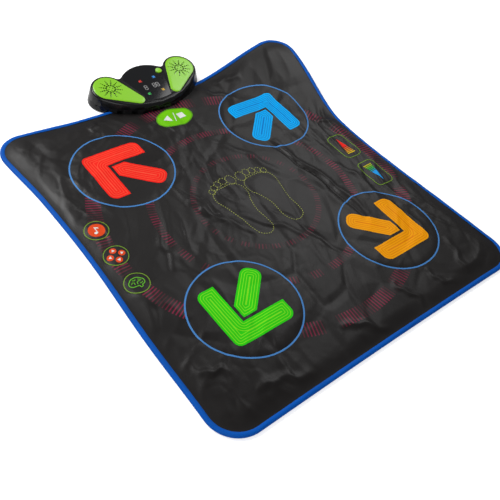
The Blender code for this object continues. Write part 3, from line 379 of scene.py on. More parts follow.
def patch(name, edge, holes=(), step=0.005):
    """A flat sheet at height 0, made of even triangles, exact at its edge and holes."""
    low, high = np.min(edge, 0), np.max(edge, 0)
    rows = enumerate(np.arange(low[1], high[1], step * ROW_STEP))
    grid = [(x + (step / 2 if i % 2 else 0), y) for i, y in rows for x in np.arange(low[0], high[0], step)]
    grid = np.array(grid).reshape(-1, 2)
    keep = within(grid, edge, holes)
    loops = [edge, *holes]
    for loop in loops:
        keep[keep] = distance_to(grid[keep], loop) > step * CLEAR
    corners, edges = [], []
    for loop in loops:
        start = len(corners)
        corners += [Vector(p) for p in loop]
        edges += [(start + i, start + (i + 1) % len(loop)) for i in range(len(loop))]
    corners += [Vector(p) for p in grid[keep]]
    verts, _, faces, *_ = delaunay_2d_cdt(corners, edges, [], 1, 1e-7)
    flat = np.array([tuple(v) for v in verts])
    solid = within(np.array([flat[list(face)].mean(0) for face in faces]), edge, holes)
    piece = new_piece(name, [(x, y, 0) for x, y in flat], [f for f, s in zip(faces, solid) if s])
    shape = bmesh.new()
    shape.from_mesh(piece.data)
    bmesh.ops.delete(shape, geom=[v for v in shape.verts if not v.link_faces], context="VERTS")
    for face in shape.faces:
        if face.normal.z < 0:
            face.normal_flip()
    shape.to_mesh(piece.data)
    shape.free()
    return piece


def thicken(piece, thickness):
    """Gives a sheet its thickness, downwards from its drawn face, and shades it smooth."""
    modify(piece, "wall", "SOLIDIFY", thickness=thickness, offset=-1)
    smooth(piece, SOFT_ANGLE)
    return piece


def plan_of(piece):
    return np.array([v.co[:2] for v in piece.data.vertices])


def moved(piece, place, rise=None):
    """Moves each point of a flat piece to its place, for the height that rise gives there."""
    plan = plan_of(piece)
    heights = np.zeros(len(plan)) if rise is None else rise(plan)
    for v, (x, y), height in zip(piece.data.vertices, plan, heights):
        v.co = place(x, y, height)
    return piece


def settle(piece, base, rise=None):
    """Lays a flat sheet at its height, over any creases, and bends it with the whole stack."""
    return moved(piece, lambda x, y, height: Vector((x, y, base + height)) + stack_offset(x, y), rise)


print("cloth helpers ready")

# %% [markdown]
# ## Finishes
#
# Coated cloth, moulded plastic and printed ink all share small faults: patches that are a little lighter
# or duller, and a fine grain that breaks up the light. One node group gives those as a colour, a roughness
# and a height, and every material sets its own amounts. The shader itself stays in the material.

# %% Node helpers
def add(tree, kind, settings=None, **inputs):
    """A node with its settings and inputs. An input that starts with i and a digit is taken by number."""
    made = tree.nodes.new(kind)
    for key, value in (settings or {}).items():
        setattr(made, key, value)
    for key, value in inputs.items():
        socket = made.inputs[int(key[1:])] if key[1:].isdigit() else made.inputs[key.replace("_", " ")]
        if isinstance(value, bpy.types.NodeSocket):
            tree.links.new(value, socket)
        else:
            socket.default_value = value
    return made


def calc(tree, operation, first, second=0.0, third=0.0):
    node = add(tree, "ShaderNodeMath", {"operation": operation}, i0=first, i1=second, i2=third)
    return node.outputs[0]


def blend_colours(tree, share, first, second):
    node = add(tree, "ShaderNodeMix", {"data_type": "RGBA"}, i0=share, i6=first, i7=second)
    return node.outputs[2]


def new_group(name, takes, gives):
    tree = bpy.data.node_groups.new(name, "ShaderNodeTree")
    for kind, title, default in takes:
        socket = tree.interface.new_socket(title, in_out="INPUT", socket_type=kind)
        if default is not None:
            socket.default_value = default
    for kind, title in gives:
        tree.interface.new_socket(title, in_out="OUTPUT", socket_type=kind)
    return tree, tree.nodes.new("NodeGroupInput").outputs, tree.nodes.new("NodeGroupOutput").inputs


COLOUR, FLOAT, VECTOR = "NodeSocketColor", "NodeSocketFloat", "NodeSocketVector"
print("node helpers ready")

# %% The group for patches and grain
uneven, taken, given = new_group(
    "uneven_finish",
    (
        (VECTOR, "Place", None),
        (COLOUR, "Colour", (0.5, 0.5, 0.5, 1)),
        (FLOAT, "Patch Scale", 9.0),
        (FLOAT, "Patches", 0.2),
        (FLOAT, "Roughness", 0.5),
        (FLOAT, "Roughness Spread", 0.1),
        (FLOAT, "Grain Scale", 400.0),
    ),
    ((COLOUR, "Colour"), (FLOAT, "Roughness"), (FLOAT, "Height")),
)
patches = add(uneven, "ShaderNodeTexNoise", Vector=taken["Place"], Scale=taken["Patch Scale"], Detail=4.0)
grain = add(uneven, "ShaderNodeTexNoise", Vector=taken["Place"], Scale=taken["Grain Scale"], Detail=2.0)
shift = calc(uneven, "SUBTRACT", patches.outputs[0], 0.5)
lighter = calc(uneven, "MULTIPLY_ADD", shift, taken["Patches"], 1.0)
speck = calc(uneven, "MULTIPLY_ADD", calc(uneven, "SUBTRACT", grain.outputs[0], 0.5), 0.15, lighter)
tone = add(uneven, "ShaderNodeVectorMath", {"operation": "SCALE"}, i0=taken["Colour"], Scale=speck)
uneven.links.new(tone.outputs[0], given["Colour"])
dull = calc(uneven, "MULTIPLY_ADD", shift, taken["Roughness Spread"], taken["Roughness"])
uneven.links.new(calc(uneven, "MAXIMUM", dull, 0.04), given["Roughness"])
uneven.links.new(grain.outputs[0], given["Height"])
print("group:", uneven.name)

# %% The group for woven cloth
weave, taken, given = new_group(
    "cloth_weave", ((VECTOR, "Place", None), (FLOAT, "Threads", 900.0)), ((FLOAT, "Height"),))
axes = add(weave, "ShaderNodeSeparateXYZ", i0=taken["Place"])
threads = [calc(weave, "SINE", calc(weave, "MULTIPLY", axes.outputs[i], taken["Threads"])) for i in (0, 1)]
weave.links.new(calc(weave, "MULTIPLY_ADD", calc(weave, "MULTIPLY", *threads), 0.5, 0.5), given["Height"])
print("group:", weave.name)


# %% A material from the groups
def new_finish(name, colour, roughness, patches=0.2, patch_scale=9.0, spread=0.12, grain=500.0, bump=0.1,
               threads=0.0, alter=None, **constants):
    """A material whose colour, roughness and fine height vary. alter may change the colour before use."""
    made = bpy.data.materials.new(name)
    made.use_nodes = True
    tree = made.node_tree
    shader = tree.nodes["Principled BSDF"]
    place = tree.nodes.new("ShaderNodeTexCoord").outputs["Object"]
    base = alter(tree, place, (*colour, 1)) if alter else (*colour, 1)
    group = add(tree, "ShaderNodeGroup", {"node_tree": uneven}, Place=place, Colour=base, Roughness=roughness,
                Patches=patches, Patch_Scale=patch_scale, Roughness_Spread=spread, Grain_Scale=grain)
    height = group.outputs["Height"]
    if threads:
        woven = add(tree, "ShaderNodeGroup", {"node_tree": weave}, Place=place, Threads=threads)
        height = calc(tree, "MULTIPLY_ADD", woven.outputs[0], 0.7, calc(tree, "MULTIPLY", height, 0.3))
    tree.links.new(group.outputs["Colour"], shader.inputs["Base Color"])
    tree.links.new(group.outputs["Roughness"], shader.inputs["Roughness"])
    lifted = add(tree, "ShaderNodeBump", Height=height, Strength=bump, Distance=0.0004)
    tree.links.new(lifted.outputs[0], shader.inputs["Normal"])
    for key, value in constants.items():
        shader.inputs[key.replace("_", " ")].default_value = value
    return made


CRIMSON = (0.205, 0.003, 0.036)
TICK_RINGS = ((0.155, 0.014, 0.45), (0.258, 0.020, 0.85), (0.388, 0.035, 1.0))  # radius, width, strength
TICK_PITCH = 0.008
TICK_SHARE = 0.36  # of the pitch that is inked
FADES = 26  # the ink comes and goes this many times round each ring
LAYOUT_Y = 0.004  # the middle of the printed layout


def tick_rings(tree, place, base):
    """Three broken rings of short dashes round the dancer, which fade in and out."""
    axes = add(tree, "ShaderNodeSeparateXYZ", i0=place)
    across, along = axes.outputs[0], calc(tree, "SUBTRACT", axes.outputs[1], LAYOUT_Y)
    square = calc(tree, "MULTIPLY_ADD", across, across, calc(tree, "MULTIPLY", along, along))
    radius, angle = calc(tree, "SQRT", square), calc(tree, "ARCTAN2", along, across)
    wave = calc(tree, "COSINE", calc(tree, "MULTIPLY", angle, FADES))
    worn = add(tree, "ShaderNodeTexNoise", Vector=place, Scale=5.0, Detail=1.0).outputs[0]
    fading = calc(tree, "MULTIPLY_ADD", worn, 1.4, calc(tree, "MULTIPLY_ADD", wave, 0.32, -0.18))
    mask = None
    for ring, width, strength in TICK_RINGS:
        count = round(math.tau * ring / TICK_PITCH)
        turn = calc(tree, "FRACT", calc(tree, "MULTIPLY", angle, count / math.tau))
        dash = calc(tree, "LESS_THAN", turn, TICK_SHARE)
        band = calc(tree, "COMPARE", radius, ring, width / 2)
        share = calc(tree, "MULTIPLY", calc(tree, "MULTIPLY", dash, band), strength)
        mask = share if mask is None else calc(tree, "MAXIMUM", mask, share)
    seen = add(tree, "ShaderNodeMapRange", Value=fading, i1=0.15, i2=0.75, i3=0.0, i4=1.0).outputs[0]
    return blend_colours(tree, calc(tree, "MULTIPLY", mask, seen), base, (*CRIMSON, 1))


VINYL = ((0.0080, 0.0066, 0.0064), 0.38, 0.5, 6.0, 0.14, 700, 0.10, 1500.0)
vinyl = new_finish("coated_cloth", *VINYL, Specular_IOR_Level=0.30)
printed_vinyl = new_finish("coated_cloth_with_rings", *VINYL, tick_rings, Specular_IOR_Level=0.30)
print("cloth finishes:", vinyl.name, printed_vinyl.name)


# %% Inks: a pattern that follows the print's own edge
def edge_lines(line_colour, pitch=0.0060, first=0.0046, width=0.0017):
    """Fine lines inside a print that run alongside its edge, read from each point's distance to it."""

    def alter(tree, place, base):
        edge = add(tree, "ShaderNodeAttribute", {"attribute_name": "from_edge"}).outputs["Fac"]
        steps = calc(tree, "DIVIDE", calc(tree, "SUBTRACT", edge, first), pitch)
        line = calc(tree, "LESS_THAN", calc(tree, "FRACT", steps), width / pitch)
        started = calc(tree, "GREATER_THAN", edge, first)
        return blend_colours(tree, calc(tree, "MULTIPLY", line, started), base, (*line_colour, 1))

    return alter


def ink(name, colour, lines=None):
    return new_finish(name, colour, 0.46, 0.25, 12.0, 0.12, 600, 0.08, 1500.0, lines, Specular_IOR_Level=0.07)


INKS = {
    "red": ink("red_ink", (0.98, 0.020, 0.012), edge_lines((1.0, 0.090, 0.045))),
    "blue": ink("blue_ink", (0.001, 0.44, 0.98), edge_lines((0.001, 0.19, 0.62))),
    "green": ink("green_ink", (0.028, 0.66, 0.006), edge_lines((0.22, 0.80, 0.015))),
    "orange": ink("orange_ink", (1.0, 0.40, 0.001), edge_lines((0.84, 0.23, 0.001))),
}
ring_ink = ink("ring_ink", (0.075, 0.25, 0.60))
foot_ink = ink("footprint_ink", (0.36, 0.39, 0.09))
outline_ink = ink("outline_ink", (0.20, 0.36, 0.035))
sign_ink = ink("sign_ink", (0.80, 0.82, 0.78))
disc_ink = ink("disc_ink", (0.80, 0.075, 0.015))
brain_ink = ink("memory_ink", (0.14, 0.50, 0.03))
pill_ink = ink("pill_ink", (0.17, 0.58, 0.004))
print("inks:", ", ".join(INKS))

# %% Moulded and metal finishes, by the frame's own slots
black_plastic = new_finish("black_plastic", (0.0062, 0.0062, 0.0070), 0.24, 0.2, 20, 0.06, 1500, 0.05,
                           Coat_Weight=0.10, Coat_Roughness=0.15, Specular_IOR_Level=0.28)
green_plastic = new_finish("green_plastic", (0.27, 0.66, 0.018), 0.30, 0.08, 25, 0.05, 1200, 0.04,
                           Coat_Weight=0.3, Coat_Roughness=0.12)
MORE_FINISHES = {  # colour, roughness, patches, their scale, roughness spread, grain, bump, threads
    "blue_tape": ((0.001, 0.100, 0.50), 0.50, 0.35, 14, 0.1, 500, 0.5, 2400.0),
    "base_cloth": ((0.03, 0.03, 0.032), 0.85, 0.3, 12, 0.1, 500, 0.5, 1200.0),
    "foam": ((0.72, 0.71, 0.66), 0.95, 0.1, 20, 0.0, 900, 0.6),
    "film": ((0.50, 0.53, 0.51), 0.25, 0.1, 10, 0.06, 300, 0.02),
    "window": ((0.006, 0.0065, 0.008), 0.07, 0.1, 15, 0.03, 800, 0.01),
    "board_green": ((0.02, 0.16, 0.06), 0.4, 0.3, 60, 0.1, 900, 0.1),
    "clear_resin": ((0.70, 0.71, 0.72), 0.12, 0.1, 90, 0.05, 900, 0.02),
    "steel": ((0.55, 0.55, 0.56), 0.30, 0.15, 160, 0.12, 1800, 0.1),
    "nickel": ((0.66, 0.62, 0.54), 0.25, 0.15, 160, 0.1, 1800, 0.08),
    "cone_paper": ((0.02, 0.02, 0.021), 0.85, 0.3, 80, 0.05, 1500, 0.5),
    "cell_jacket": ((0.03, 0.03, 0.035), 0.28, 0.15, 70, 0.05, 1200, 0.02),
    "wire": ((0.45, 0.02, 0.02), 0.42, 0.1, 90, 0.08, 1500, 0.05),
    "rubber": ((0.02, 0.02, 0.021), 0.80, 0.25, 60, 0.1, 1800, 0.4),
}
CONSTANTS = {
    "blue_tape": {"Specular_IOR_Level": 0.10},
    "clear_resin": {"Transmission_Weight": 0.6},
    "steel": {"Metallic": 1.0},
    "nickel": {"Metallic": 1.0},
}
SLOT_FINISHES = {"black_vinyl": vinyl, "black_plastic": black_plastic, "green_plastic": green_plastic}
SLOT_FINISHES.update({f"{word}_print": colour for word, colour in INKS.items()})
for slot, values in MORE_FINISHES.items():
    SLOT_FINISHES[slot] = new_finish(slot, *values, **CONSTANTS.get(slot, {}))
SLOT_OF = {part["node"]: part["material_slot"] for part in frame["record"]["subparts"]}
for node, slot in SLOT_OF.items():
    nodes[node].data.materials.clear()
    nodes[node].data.materials.append(SLOT_FINISHES[slot])
print("finishes on", len(SLOT_OF), "solids of the frame")


# %% Putting a finished piece in its place
def declare(piece, body, slot, material, *stands_for):
    piece.data.materials.clear()
    piece.data.materials.append(material)
    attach(piece, body)
    if stands_for:
        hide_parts(*stands_for)
    return piece


# %% [markdown]
# ## The cover and the pads
#
# On the real mat the cover is one sheet and a pad is only a printed place on it. Here each pad moves by
# itself, so it is a separate disc of the same cloth, cut to fit its hole, in the same creases. A line of
# ink hides the cut. The stack under a pad holds it up a little, so its middle is raised.

# %% The pads' outlines
ARROWS = {"red": (-1, 1), "blue": (1, 1), "green": (-1, -1), "orange": (1, -1)}
MODES = ("free_mode", "follow_mode", "memory_mode")
VOLUMES = ("volume_up", "volume_down")
SMALL_PADS = (*MODES, *VOLUMES, "play_stop")
PAD_NAMES = [f"{word}_arrow_pad" for word in ARROWS] + [f"{word}_pad" for word in SMALL_PADS]


def pad_outline(name, grow=0.0, step=0.004):
    centre, half = middle(name), half_size(name)
    if name.startswith("volume"):
        return evenly(rounded_box(centre, half.x + grow, half.y + grow, 0.016 + grow), step)
    count = max(48, round(math.tau * max(half.x, half.y) / step))
    return ellipse(centre, half.x + grow, half.y + grow, count)


PAD_GAP = 0.0005  # between a pad and its hole
TUCK = 0.0016  # how far the sheets' edges lie inside the binding
CLOTH_STEP = 0.0043
holes = [pad_outline(name, PAD_GAP) for name in PAD_NAMES]
cover = settle(patch("cover", mat_outline(TUCK), holes, CLOTH_STEP), COVER_TOP, cover_heights)
print("cover:", len(cover.data.polygons), "faces before it has a thickness")

# %% The pad skins
DOME = {"arrow": 0.0016, "other": 0.0006}
RIM_RISE = 0.020  # how far in from its rim a pad has its full height


def skin_heights(name):
    rim = pad_outline(name)
    top = DOME["arrow" if "arrow" in name else "other"]
    reach = min(RIM_RISE, min(half_size(name)[:2]) * 0.6)

    def rise(points):
        share = np.clip(distance_to(np.array(points), rim) / reach, 0, 1)
        return cover_heights(points) + top * (1 - (1 - share) ** 2)

    return rise


skins = {}
for name in PAD_NAMES:
    sheet = patch(f"{name}_skin", pad_outline(name), (), CLOTH_STEP if "arrow" in name else 0.003)
    skins[name] = settle(sheet, COVER_TOP, skin_heights(name))

surface_points, surface_faces = [], []
for sheet in (cover, *skins.values()):
    start = len(surface_points)
    surface_points += [v.co.copy() for v in sheet.data.vertices]
    surface_faces += [[start + i for i in face.vertices] for face in sheet.data.polygons]
surface = BVHTree.FromPolygons(surface_points, surface_faces)
print("the drawn surface has", len(surface_faces), "faces")

# %% Thickness, and what each sheet is
for name, sheet in skins.items():
    thicken(sheet, CLOTH)
    declare(sheet, name, SLOT_OF[name], pill_ink if name == "play_stop_pad" else vinyl, name)
thicken(cover, CLOTH)
declare(cover, MAT_BODY, "black_vinyl", printed_vinyl, "top_cover")
print("cover:", len(cover.data.polygons), "faces")

# %% [markdown]
# ## The layers inside
#
# Under the cover lie a film with printed tracks, a sheet of foam with openings, a second film and the base
# cloth. They are flat sheets too, laid with the same bend as the cover but without its creases.

# %% The inner sheets
FILM_TUCK = 0.004
INNER_GAP, INNER_STEP = 0.0012, 0.010
inner_holes = [pad_outline(name, INNER_GAP, INNER_STEP) for name in PAD_NAMES]
LAYERS = {
    "base_sheet": ("bottom_cloth", "base_cloth", TUCK, ()),
    "lower_circuit_film": ("lower_film", "film", FILM_TUCK, ()),
    "spacer_foam": ("foam_sheet", "foam", FILM_TUCK, inner_holes),
    "upper_circuit_film": ("upper_film", "film", FILM_TUCK, inner_holes),
}
layers = {}
for node, (title, slot, inset, openings) in LAYERS.items():
    low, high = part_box(node)
    sheet = settle(patch(title, mat_outline(inset, INNER_STEP), openings, 0.012), high.z)
    layers[node] = declare(thicken(sheet, high.z - low.z), MAT_BODY, slot, SLOT_FINISHES[slot], node)
print("inner sheets:", ", ".join(piece.name for piece in layers.values()))

# %% The foam discs under the arrow pads
for word in ARROWS:
    node = f"{word}_arrow_foam"
    low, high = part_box(node)
    centre = middle(node)
    disc = drum(f"{word}_foam_disc", half_size(node).x, high.z - low.z, centre)
    modify(disc, "soft_edge", "BEVEL", width=DRUM_EDGE, segments=2)
    smooth(disc, SOFT_ANGLE)
    declare(disc, MAT_BODY, "foam", SLOT_FINISHES["foam"], node)
    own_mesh(disc)
print("foam discs under the arrow pads: 4")

# %% [markdown]
# ## The binding
#
# A folded tape is sewn round the edge, over every layer. It is one closed section carried along the mat's
# outline. The tape pulls a little at each few stitches, so its height goes up and down as it goes round.

# %% The edge tape
TAPE_SECTION = tenths(  # how far in from the edge, height: over the outside of the fold, then back inside it
    (105, 65), (106, 70.5), (100, 74.5), (78, 81.5), (52, 84.5), (28, 79), (11, 66), (3, 50), (0, 34),
    (4, 17), (16, 4.5), (36, 0), (80, 0), (80, 7), (36, 7.5), (22, 12), (13, 25), (13, 48), (30, 63),
)
PUCKER = 0.0007


def tape_loop(inset, height):
    plan = mat_outline(inset, 0.005)
    along = np.cumsum([0] + [math.dist(a, b) for a, b in zip(plan, plan[1:])])
    loop = []
    for (x, y), s in zip(plan, along):
        pull = PUCKER * noise.noise((s * 55, inset * 90, 4.0))
        pull += PUCKER * noise.noise((s * 16, 2.0, inset * 50))
        rise = pull * min(max((height - 0.004) / 0.003, 0), 1)
        loop.append(Vector((x, y, height + rise)) + stack_offset(x, y))
    return loop


loops = [tape_loop(*place) for place in TAPE_SECTION]
around = len(loops[0])
tape_faces = [
    (i * around + j, i * around + (j + 1) % around, k * around + (j + 1) % around, k * around + j)
    for i, k in zip(range(len(loops)), [*range(1, len(loops)), 0])
    for j in range(around)
]
tape = new_piece("edge_tape", [p for loop in loops for p in loop], tape_faces)
edited(tape, bpy.ops.mesh.normals_make_consistent, inside=False)
smooth(tape, TAPE_ANGLE)
declare(tape, MAT_BODY, "blue_tape", SLOT_FINISHES["blue_tape"], "edge_binding")
print("edge tape:", len(tape.data.polygons), "faces")


# %% [markdown]
# ## Prints
#
# Ink has almost no thickness, but it is modelled as very thin pieces so that every edge is crisp. Each
# piece is drawn flat in the plan, bent with the mat, dropped onto the surface under it and given the
# thickness of a film.

# %% Laying a print
INK_LIFT = 0.00030
INK = 0.00025
ABOVE = 0.2  # a height over everything, from which a print is dropped


def lay(piece, lift=INK_LIFT):
    """Drops a flat piece onto the cover and pads and gives it the thickness of a film of ink."""

    def drop(x, y, height):
        spot = Vector((x, y, COVER_TOP + height)) + stack_offset(x, y)
        hit = surface.ray_cast(Vector((spot.x, spot.y, ABOVE)), Vector((0, 0, -1)))[0]
        return spot.x, spot.y, (hit.z if hit else spot.z) + lift

    return thicken(moved(piece, drop, cover_heights), INK)


def print_patch(name, edge, holes=(), step=0.0035, lift=INK_LIFT):
    """A printed area that remembers how far each of its points is from its own edge."""
    piece = patch(name, edge, holes, step)
    away = np.min([distance_to(plan_of(piece), loop) for loop in (edge, *holes)], 0)
    remembered = piece.data.attributes.new("from_edge", "FLOAT", "POINT")
    remembered.data.foreach_set("value", away.astype(np.float32))
    return lay(piece, lift)


def joined(name, parts):
    """Several printed pieces made one."""
    bpy.ops.object.select_all(action="DESELECT")
    for part in parts:
        part.select_set(True)
    bpy.context.view_layer.objects.active = parts[0]
    bpy.ops.object.join()
    parts[0].name = name
    return parts[0]


def ring(name, pad, outer, inner, step=0.002):
    """A line of ink round a pad, between two distances from its rim."""
    return print_patch(name, pad_outline(pad, outer, step), [pad_outline(pad, inner, step)], step)


def printed(piece, body, colour):
    return declare(piece, body, "black_vinyl", colour)


def at(centre, points):
    return [(centre.x + x, centre.y + y) for x, y in points]


def sign(name, centre, outlines, step=0.003, lift=INK_LIFT):
    """Printed areas round a place, joined into one piece."""
    parts = [print_patch(f"{name}_{i}", at(centre, edge), (), step, lift) for i, edge in enumerate(outlines)]
    return joined(name, parts)


RING_LINE = 0.0036
for word in ARROWS:
    line = ring(f"{word}_ring_line", f"{word}_arrow_pad", RING_LINE / 2, -RING_LINE / 2, 0.003)
    printed(line, MAT_BODY, ring_ink)
print("ring lines: 4, each", RING_LINE * 1000, "mm wide")


# %% Arrows
def rounded_polygon(corners, radii, steps=5):
    """A closed outline with each corner rounded by its own radius, 0 for a sharp one."""
    points = []
    for i, (corner, radius) in enumerate(zip(corners, radii)):
        corner = Vector(corner)
        before = (Vector(corners[i - 1]) - corner).normalized()
        after = (Vector(corners[(i + 1) % len(corners)]) - corner).normalized()
        if radius == 0:
            points.append(tuple(corner))
            continue
        half = before.angle(after) / 2
        centre = corner + (before + after).normalized() * (radius / math.sin(half))
        first = corner + before * (radius / math.tan(half)) - centre
        last = corner + after * (radius / math.tan(half)) - centre
        turn = first.angle_signed(last)
        for k in range(steps + 1):
            spun = Matrix.Rotation(-turn * k / steps, 2) @ first
            points.append(tuple(centre + spun))
    return points


ARM_OUTER = 0.0755  # the chevron's outer corner, from the pad's middle, both ways
ARM_WIDTH = 0.0485
ARM_LENGTH = 0.1560
SHAFT_HALF = 0.0245
SHAFT_TIP = 0.0275  # along the diagonal
SHAFT_TAIL = -0.1070
a, b, c = ARM_OUTER, ARM_OUTER - ARM_WIDTH, ARM_OUTER - ARM_LENGTH
CHEVRON = rounded_polygon(
    [(a, a), (c, a), (c, b), (b, b), (b, c), (a, c)], [0.016, 0.020, 0.0015, 0, 0.0015, 0.020])
SHAFT = rounded_polygon(
    [
        (SHAFT_TIP, 0), (SHAFT_TIP - SHAFT_HALF, SHAFT_HALF), (SHAFT_TAIL, SHAFT_HALF),
        (SHAFT_TAIL, -SHAFT_HALF), (SHAFT_TIP - SHAFT_HALF, -SHAFT_HALF),
    ],
    [0, 0.002, 0.019, 0.019, 0.002],
)
diagonal = math.sqrt(0.5)
SHAFT = [((u - v) * diagonal, (u + v) * diagonal) for u, v in SHAFT]
for word, (side_x, side_y) in ARROWS.items():
    pad = f"{word}_arrow_pad"
    outlines = [evenly([(side_x * x, side_y * y) for x, y in outline], 0.003) for outline in (CHEVRON, SHAFT)]
    declare(sign(f"{word}_arrow", middle(pad), outlines, 0.0024), pad, f"{word}_print", INKS[word])
print("arrows:", ", ".join(ARROWS))


# %% [markdown]
# ## Footprints
#
# Two dashed outlines show where to stand. A smooth closed curve through a few points of a sole, and five
# ovals for the toes, are walked in even steps, with one small oblong of ink at each step.

# %% Dashed outlines
SOLE = tenths(
    (500, -1000), (720, -900), (780, -650), (780, -300), (860, 100), (930, 450), (840, 680), (550, 760),
    (220, 740), (60, 580), (60, 350), (180, 80), (270, -250), (260, -600), (310, -880),
)
TOES = tenths(
    (160, 880, 125, 155), (370, 930, 90, 110), (540, 910, 80, 100), (690, 850, 75, 90), (820, 760, 70, 85),
)
HEEL_IN = 0.055  # how much the left foot turns its heel inwards, as a slope
DASH, DASH_WIDTH, DASH_PITCH = 0.0033, 0.0017, 0.0063


def through(points, steps=10):
    """A smooth closed curve through the points."""
    out = []
    for i in range(len(points)):
        p0, p1, p2, p3 = (Vector(points[(i + k) % len(points)]) for k in (-1, 0, 1, 2))
        for k in range(steps):
            t = k / steps
            bend = 2 * p1 + (p2 - p0) * t + (2 * p0 - 5 * p1 + 4 * p2 - p3) * t * t
            out.append(tuple((bend + (3 * p1 - p0 - 3 * p2 + p3) * t**3) / 2))
    return out


def walk(loop, pitch):
    """Evenly spaced places and directions along a closed outline."""
    points = [Vector(p) for p in loop] + [Vector(loop[0])]
    reach = np.cumsum([0.0] + [(q - p).length for p, q in zip(points, points[1:])])
    count = round(reach[-1] / pitch)
    for i in range(count):
        s = reach[-1] * i / count
        k = min(int(np.searchsorted(reach, s, "right")) - 1, len(points) - 2)
        run = points[k + 1] - points[k]
        yield points[k] + run * ((s - reach[k]) / max(run.length, 1e-9)), run.normalized()


def dashed(name, loops):
    verts, faces = [], []
    for loop in loops:
        for place, run in walk(loop, DASH_PITCH):
            aside = Vector((-run.y, run.x)) * DASH_WIDTH / 2
            ahead = run * DASH / 2
            start = len(verts)
            back, front = place - ahead, place + ahead
            verts += [back - aside, front - aside, front + aside, back + aside]
            faces.append((start, start + 1, start + 2, start + 3))
    return lay(new_piece(name, [(v.x, v.y, 0) for v in verts], faces))


for word, side in (("left", -1), ("right", 1)):
    outlines = [through(SOLE)] + [ellipse((x, y), w, h, 24) for x, y, w, h in TOES]
    heel_in = HEEL_IN if side < 0 else 0
    outlines = [[(side * x + heel_in * (0.09 - y), y) for x, y in loop][::side] for loop in outlines]
    printed(dashed(f"{word}_footprint", outlines), MAT_BODY, foot_ink)
print("footprints: left, right")


# %% [markdown]
# ## Signs on the small pads
#
# The left pads choose how to play: music, moves and memory. The right pads are volume up and down. The
# long pad starts and stops. Each sign is general, and each rides on its own pad, so that it goes down with
# it.

# %% Signs on the mode pads
def ribbon(loop_or_path, width, closed):
    """The two sides of a line of an even width, as one outline for an open line or two for a closed one."""
    points = [Vector(p) for p in loop_or_path]
    count = len(points)
    sides = ([], [])
    for i, p in enumerate(points):
        before = points[i - 1] if closed or i else p
        after = points[(i + 1) % count] if closed or i + 1 < count else p
        run = (after - before).normalized()
        aside = Vector((-run.y, run.x)) * width / 2
        sides[0].append(tuple(p + aside))
        sides[1].append(tuple(p - aside))
    return sides if closed else sides[0][::-1] + sides[1]


OVER = 2.2 * INK_LIFT  # a print that lies on another print
FINE = 0.0015  # the grid of the smallest prints
mode_middles = [middle(f"{word}_pad") for word in MODES]
for word in MODES:
    printed(ring(f"{word}_outline", f"{word}_pad", -0.0004, -0.0022), f"{word}_pad", outline_ink)

music_disc = sign("music_disc", mode_middles[0], [ellipse((0, 0), 0.0190, 0.0190, 60)], 0.0025)
printed(music_disc, "free_mode_pad", disc_ink)
NOTE = tenths((-18, -70), (-18, 105), (68, 62), (68, 20), (2, 55), (2, -70))
NOTE_HEAD = ellipse((-0.0042, -0.0070), 0.0044, 0.0034, 24)
printed(sign("music_note", mode_middles[0], (NOTE, NOTE_HEAD), FINE, OVER), "free_mode_pad", sign_ink)

SPOTS = tenths((0, 140), (140, 0), (0, -140), (-140, 0))  # up, right, down, left
MOVE_DISC, MOVE_SIGN = 0.0078, 0.0046  # radii
discs = [ellipse(spot, MOVE_DISC, MOVE_DISC, 32) for spot in SPOTS]
printed(sign("move_discs", mode_middles[1], discs, 0.002), "follow_mode_pad", disc_ink)
triangles = [arc(spot, MOVE_SIGN, 90 - 90 * i, 330 - 90 * i, 2) for i, spot in enumerate(SPOTS)]
printed(sign("move_signs", mode_middles[1], triangles, FINE, OVER), "follow_mode_pad", sign_ink)

BRAIN = tenths(
    (-165, -30), (-175, 40), (-130, 90), (-90, 125), (-30, 140), (35, 140), (90, 120), (130, 85), (170, 40),
    (170, -25), (140, -70), (85, -85), (70, -130), (25, -140), (10, -90), (-60, -80), (-120, -70),
)
FOLDS_OF_BRAIN = [
    tenths((-125, 10), (-85, 45), (-50, 20), (-60, -30)),
    tenths((-65, 95), (-20, 70), (10, 95)),
    tenths((0, -45), (10, 10), (50, 35), (90, 15)),
    tenths((60, 85), (85, 60), (125, 40)),
    tenths((50, -40), (90, -35), (125, -20)),
]
outer, inner = ribbon(at(mode_middles[2], through(BRAIN, 3)), 0.0019, True)
strokes = [print_patch("brain_edge", outer, [inner], 0.0018)]
for i, path in enumerate(FOLDS_OF_BRAIN):
    strokes.append(print_patch(f"brain_fold_{i}", ribbon(at(mode_middles[2], path), 0.0017, False), (), FINE))
printed(joined("memory_sign", strokes), "memory_mode_pad", brain_ink)
print("signs on the mode pads: music, moves, memory")

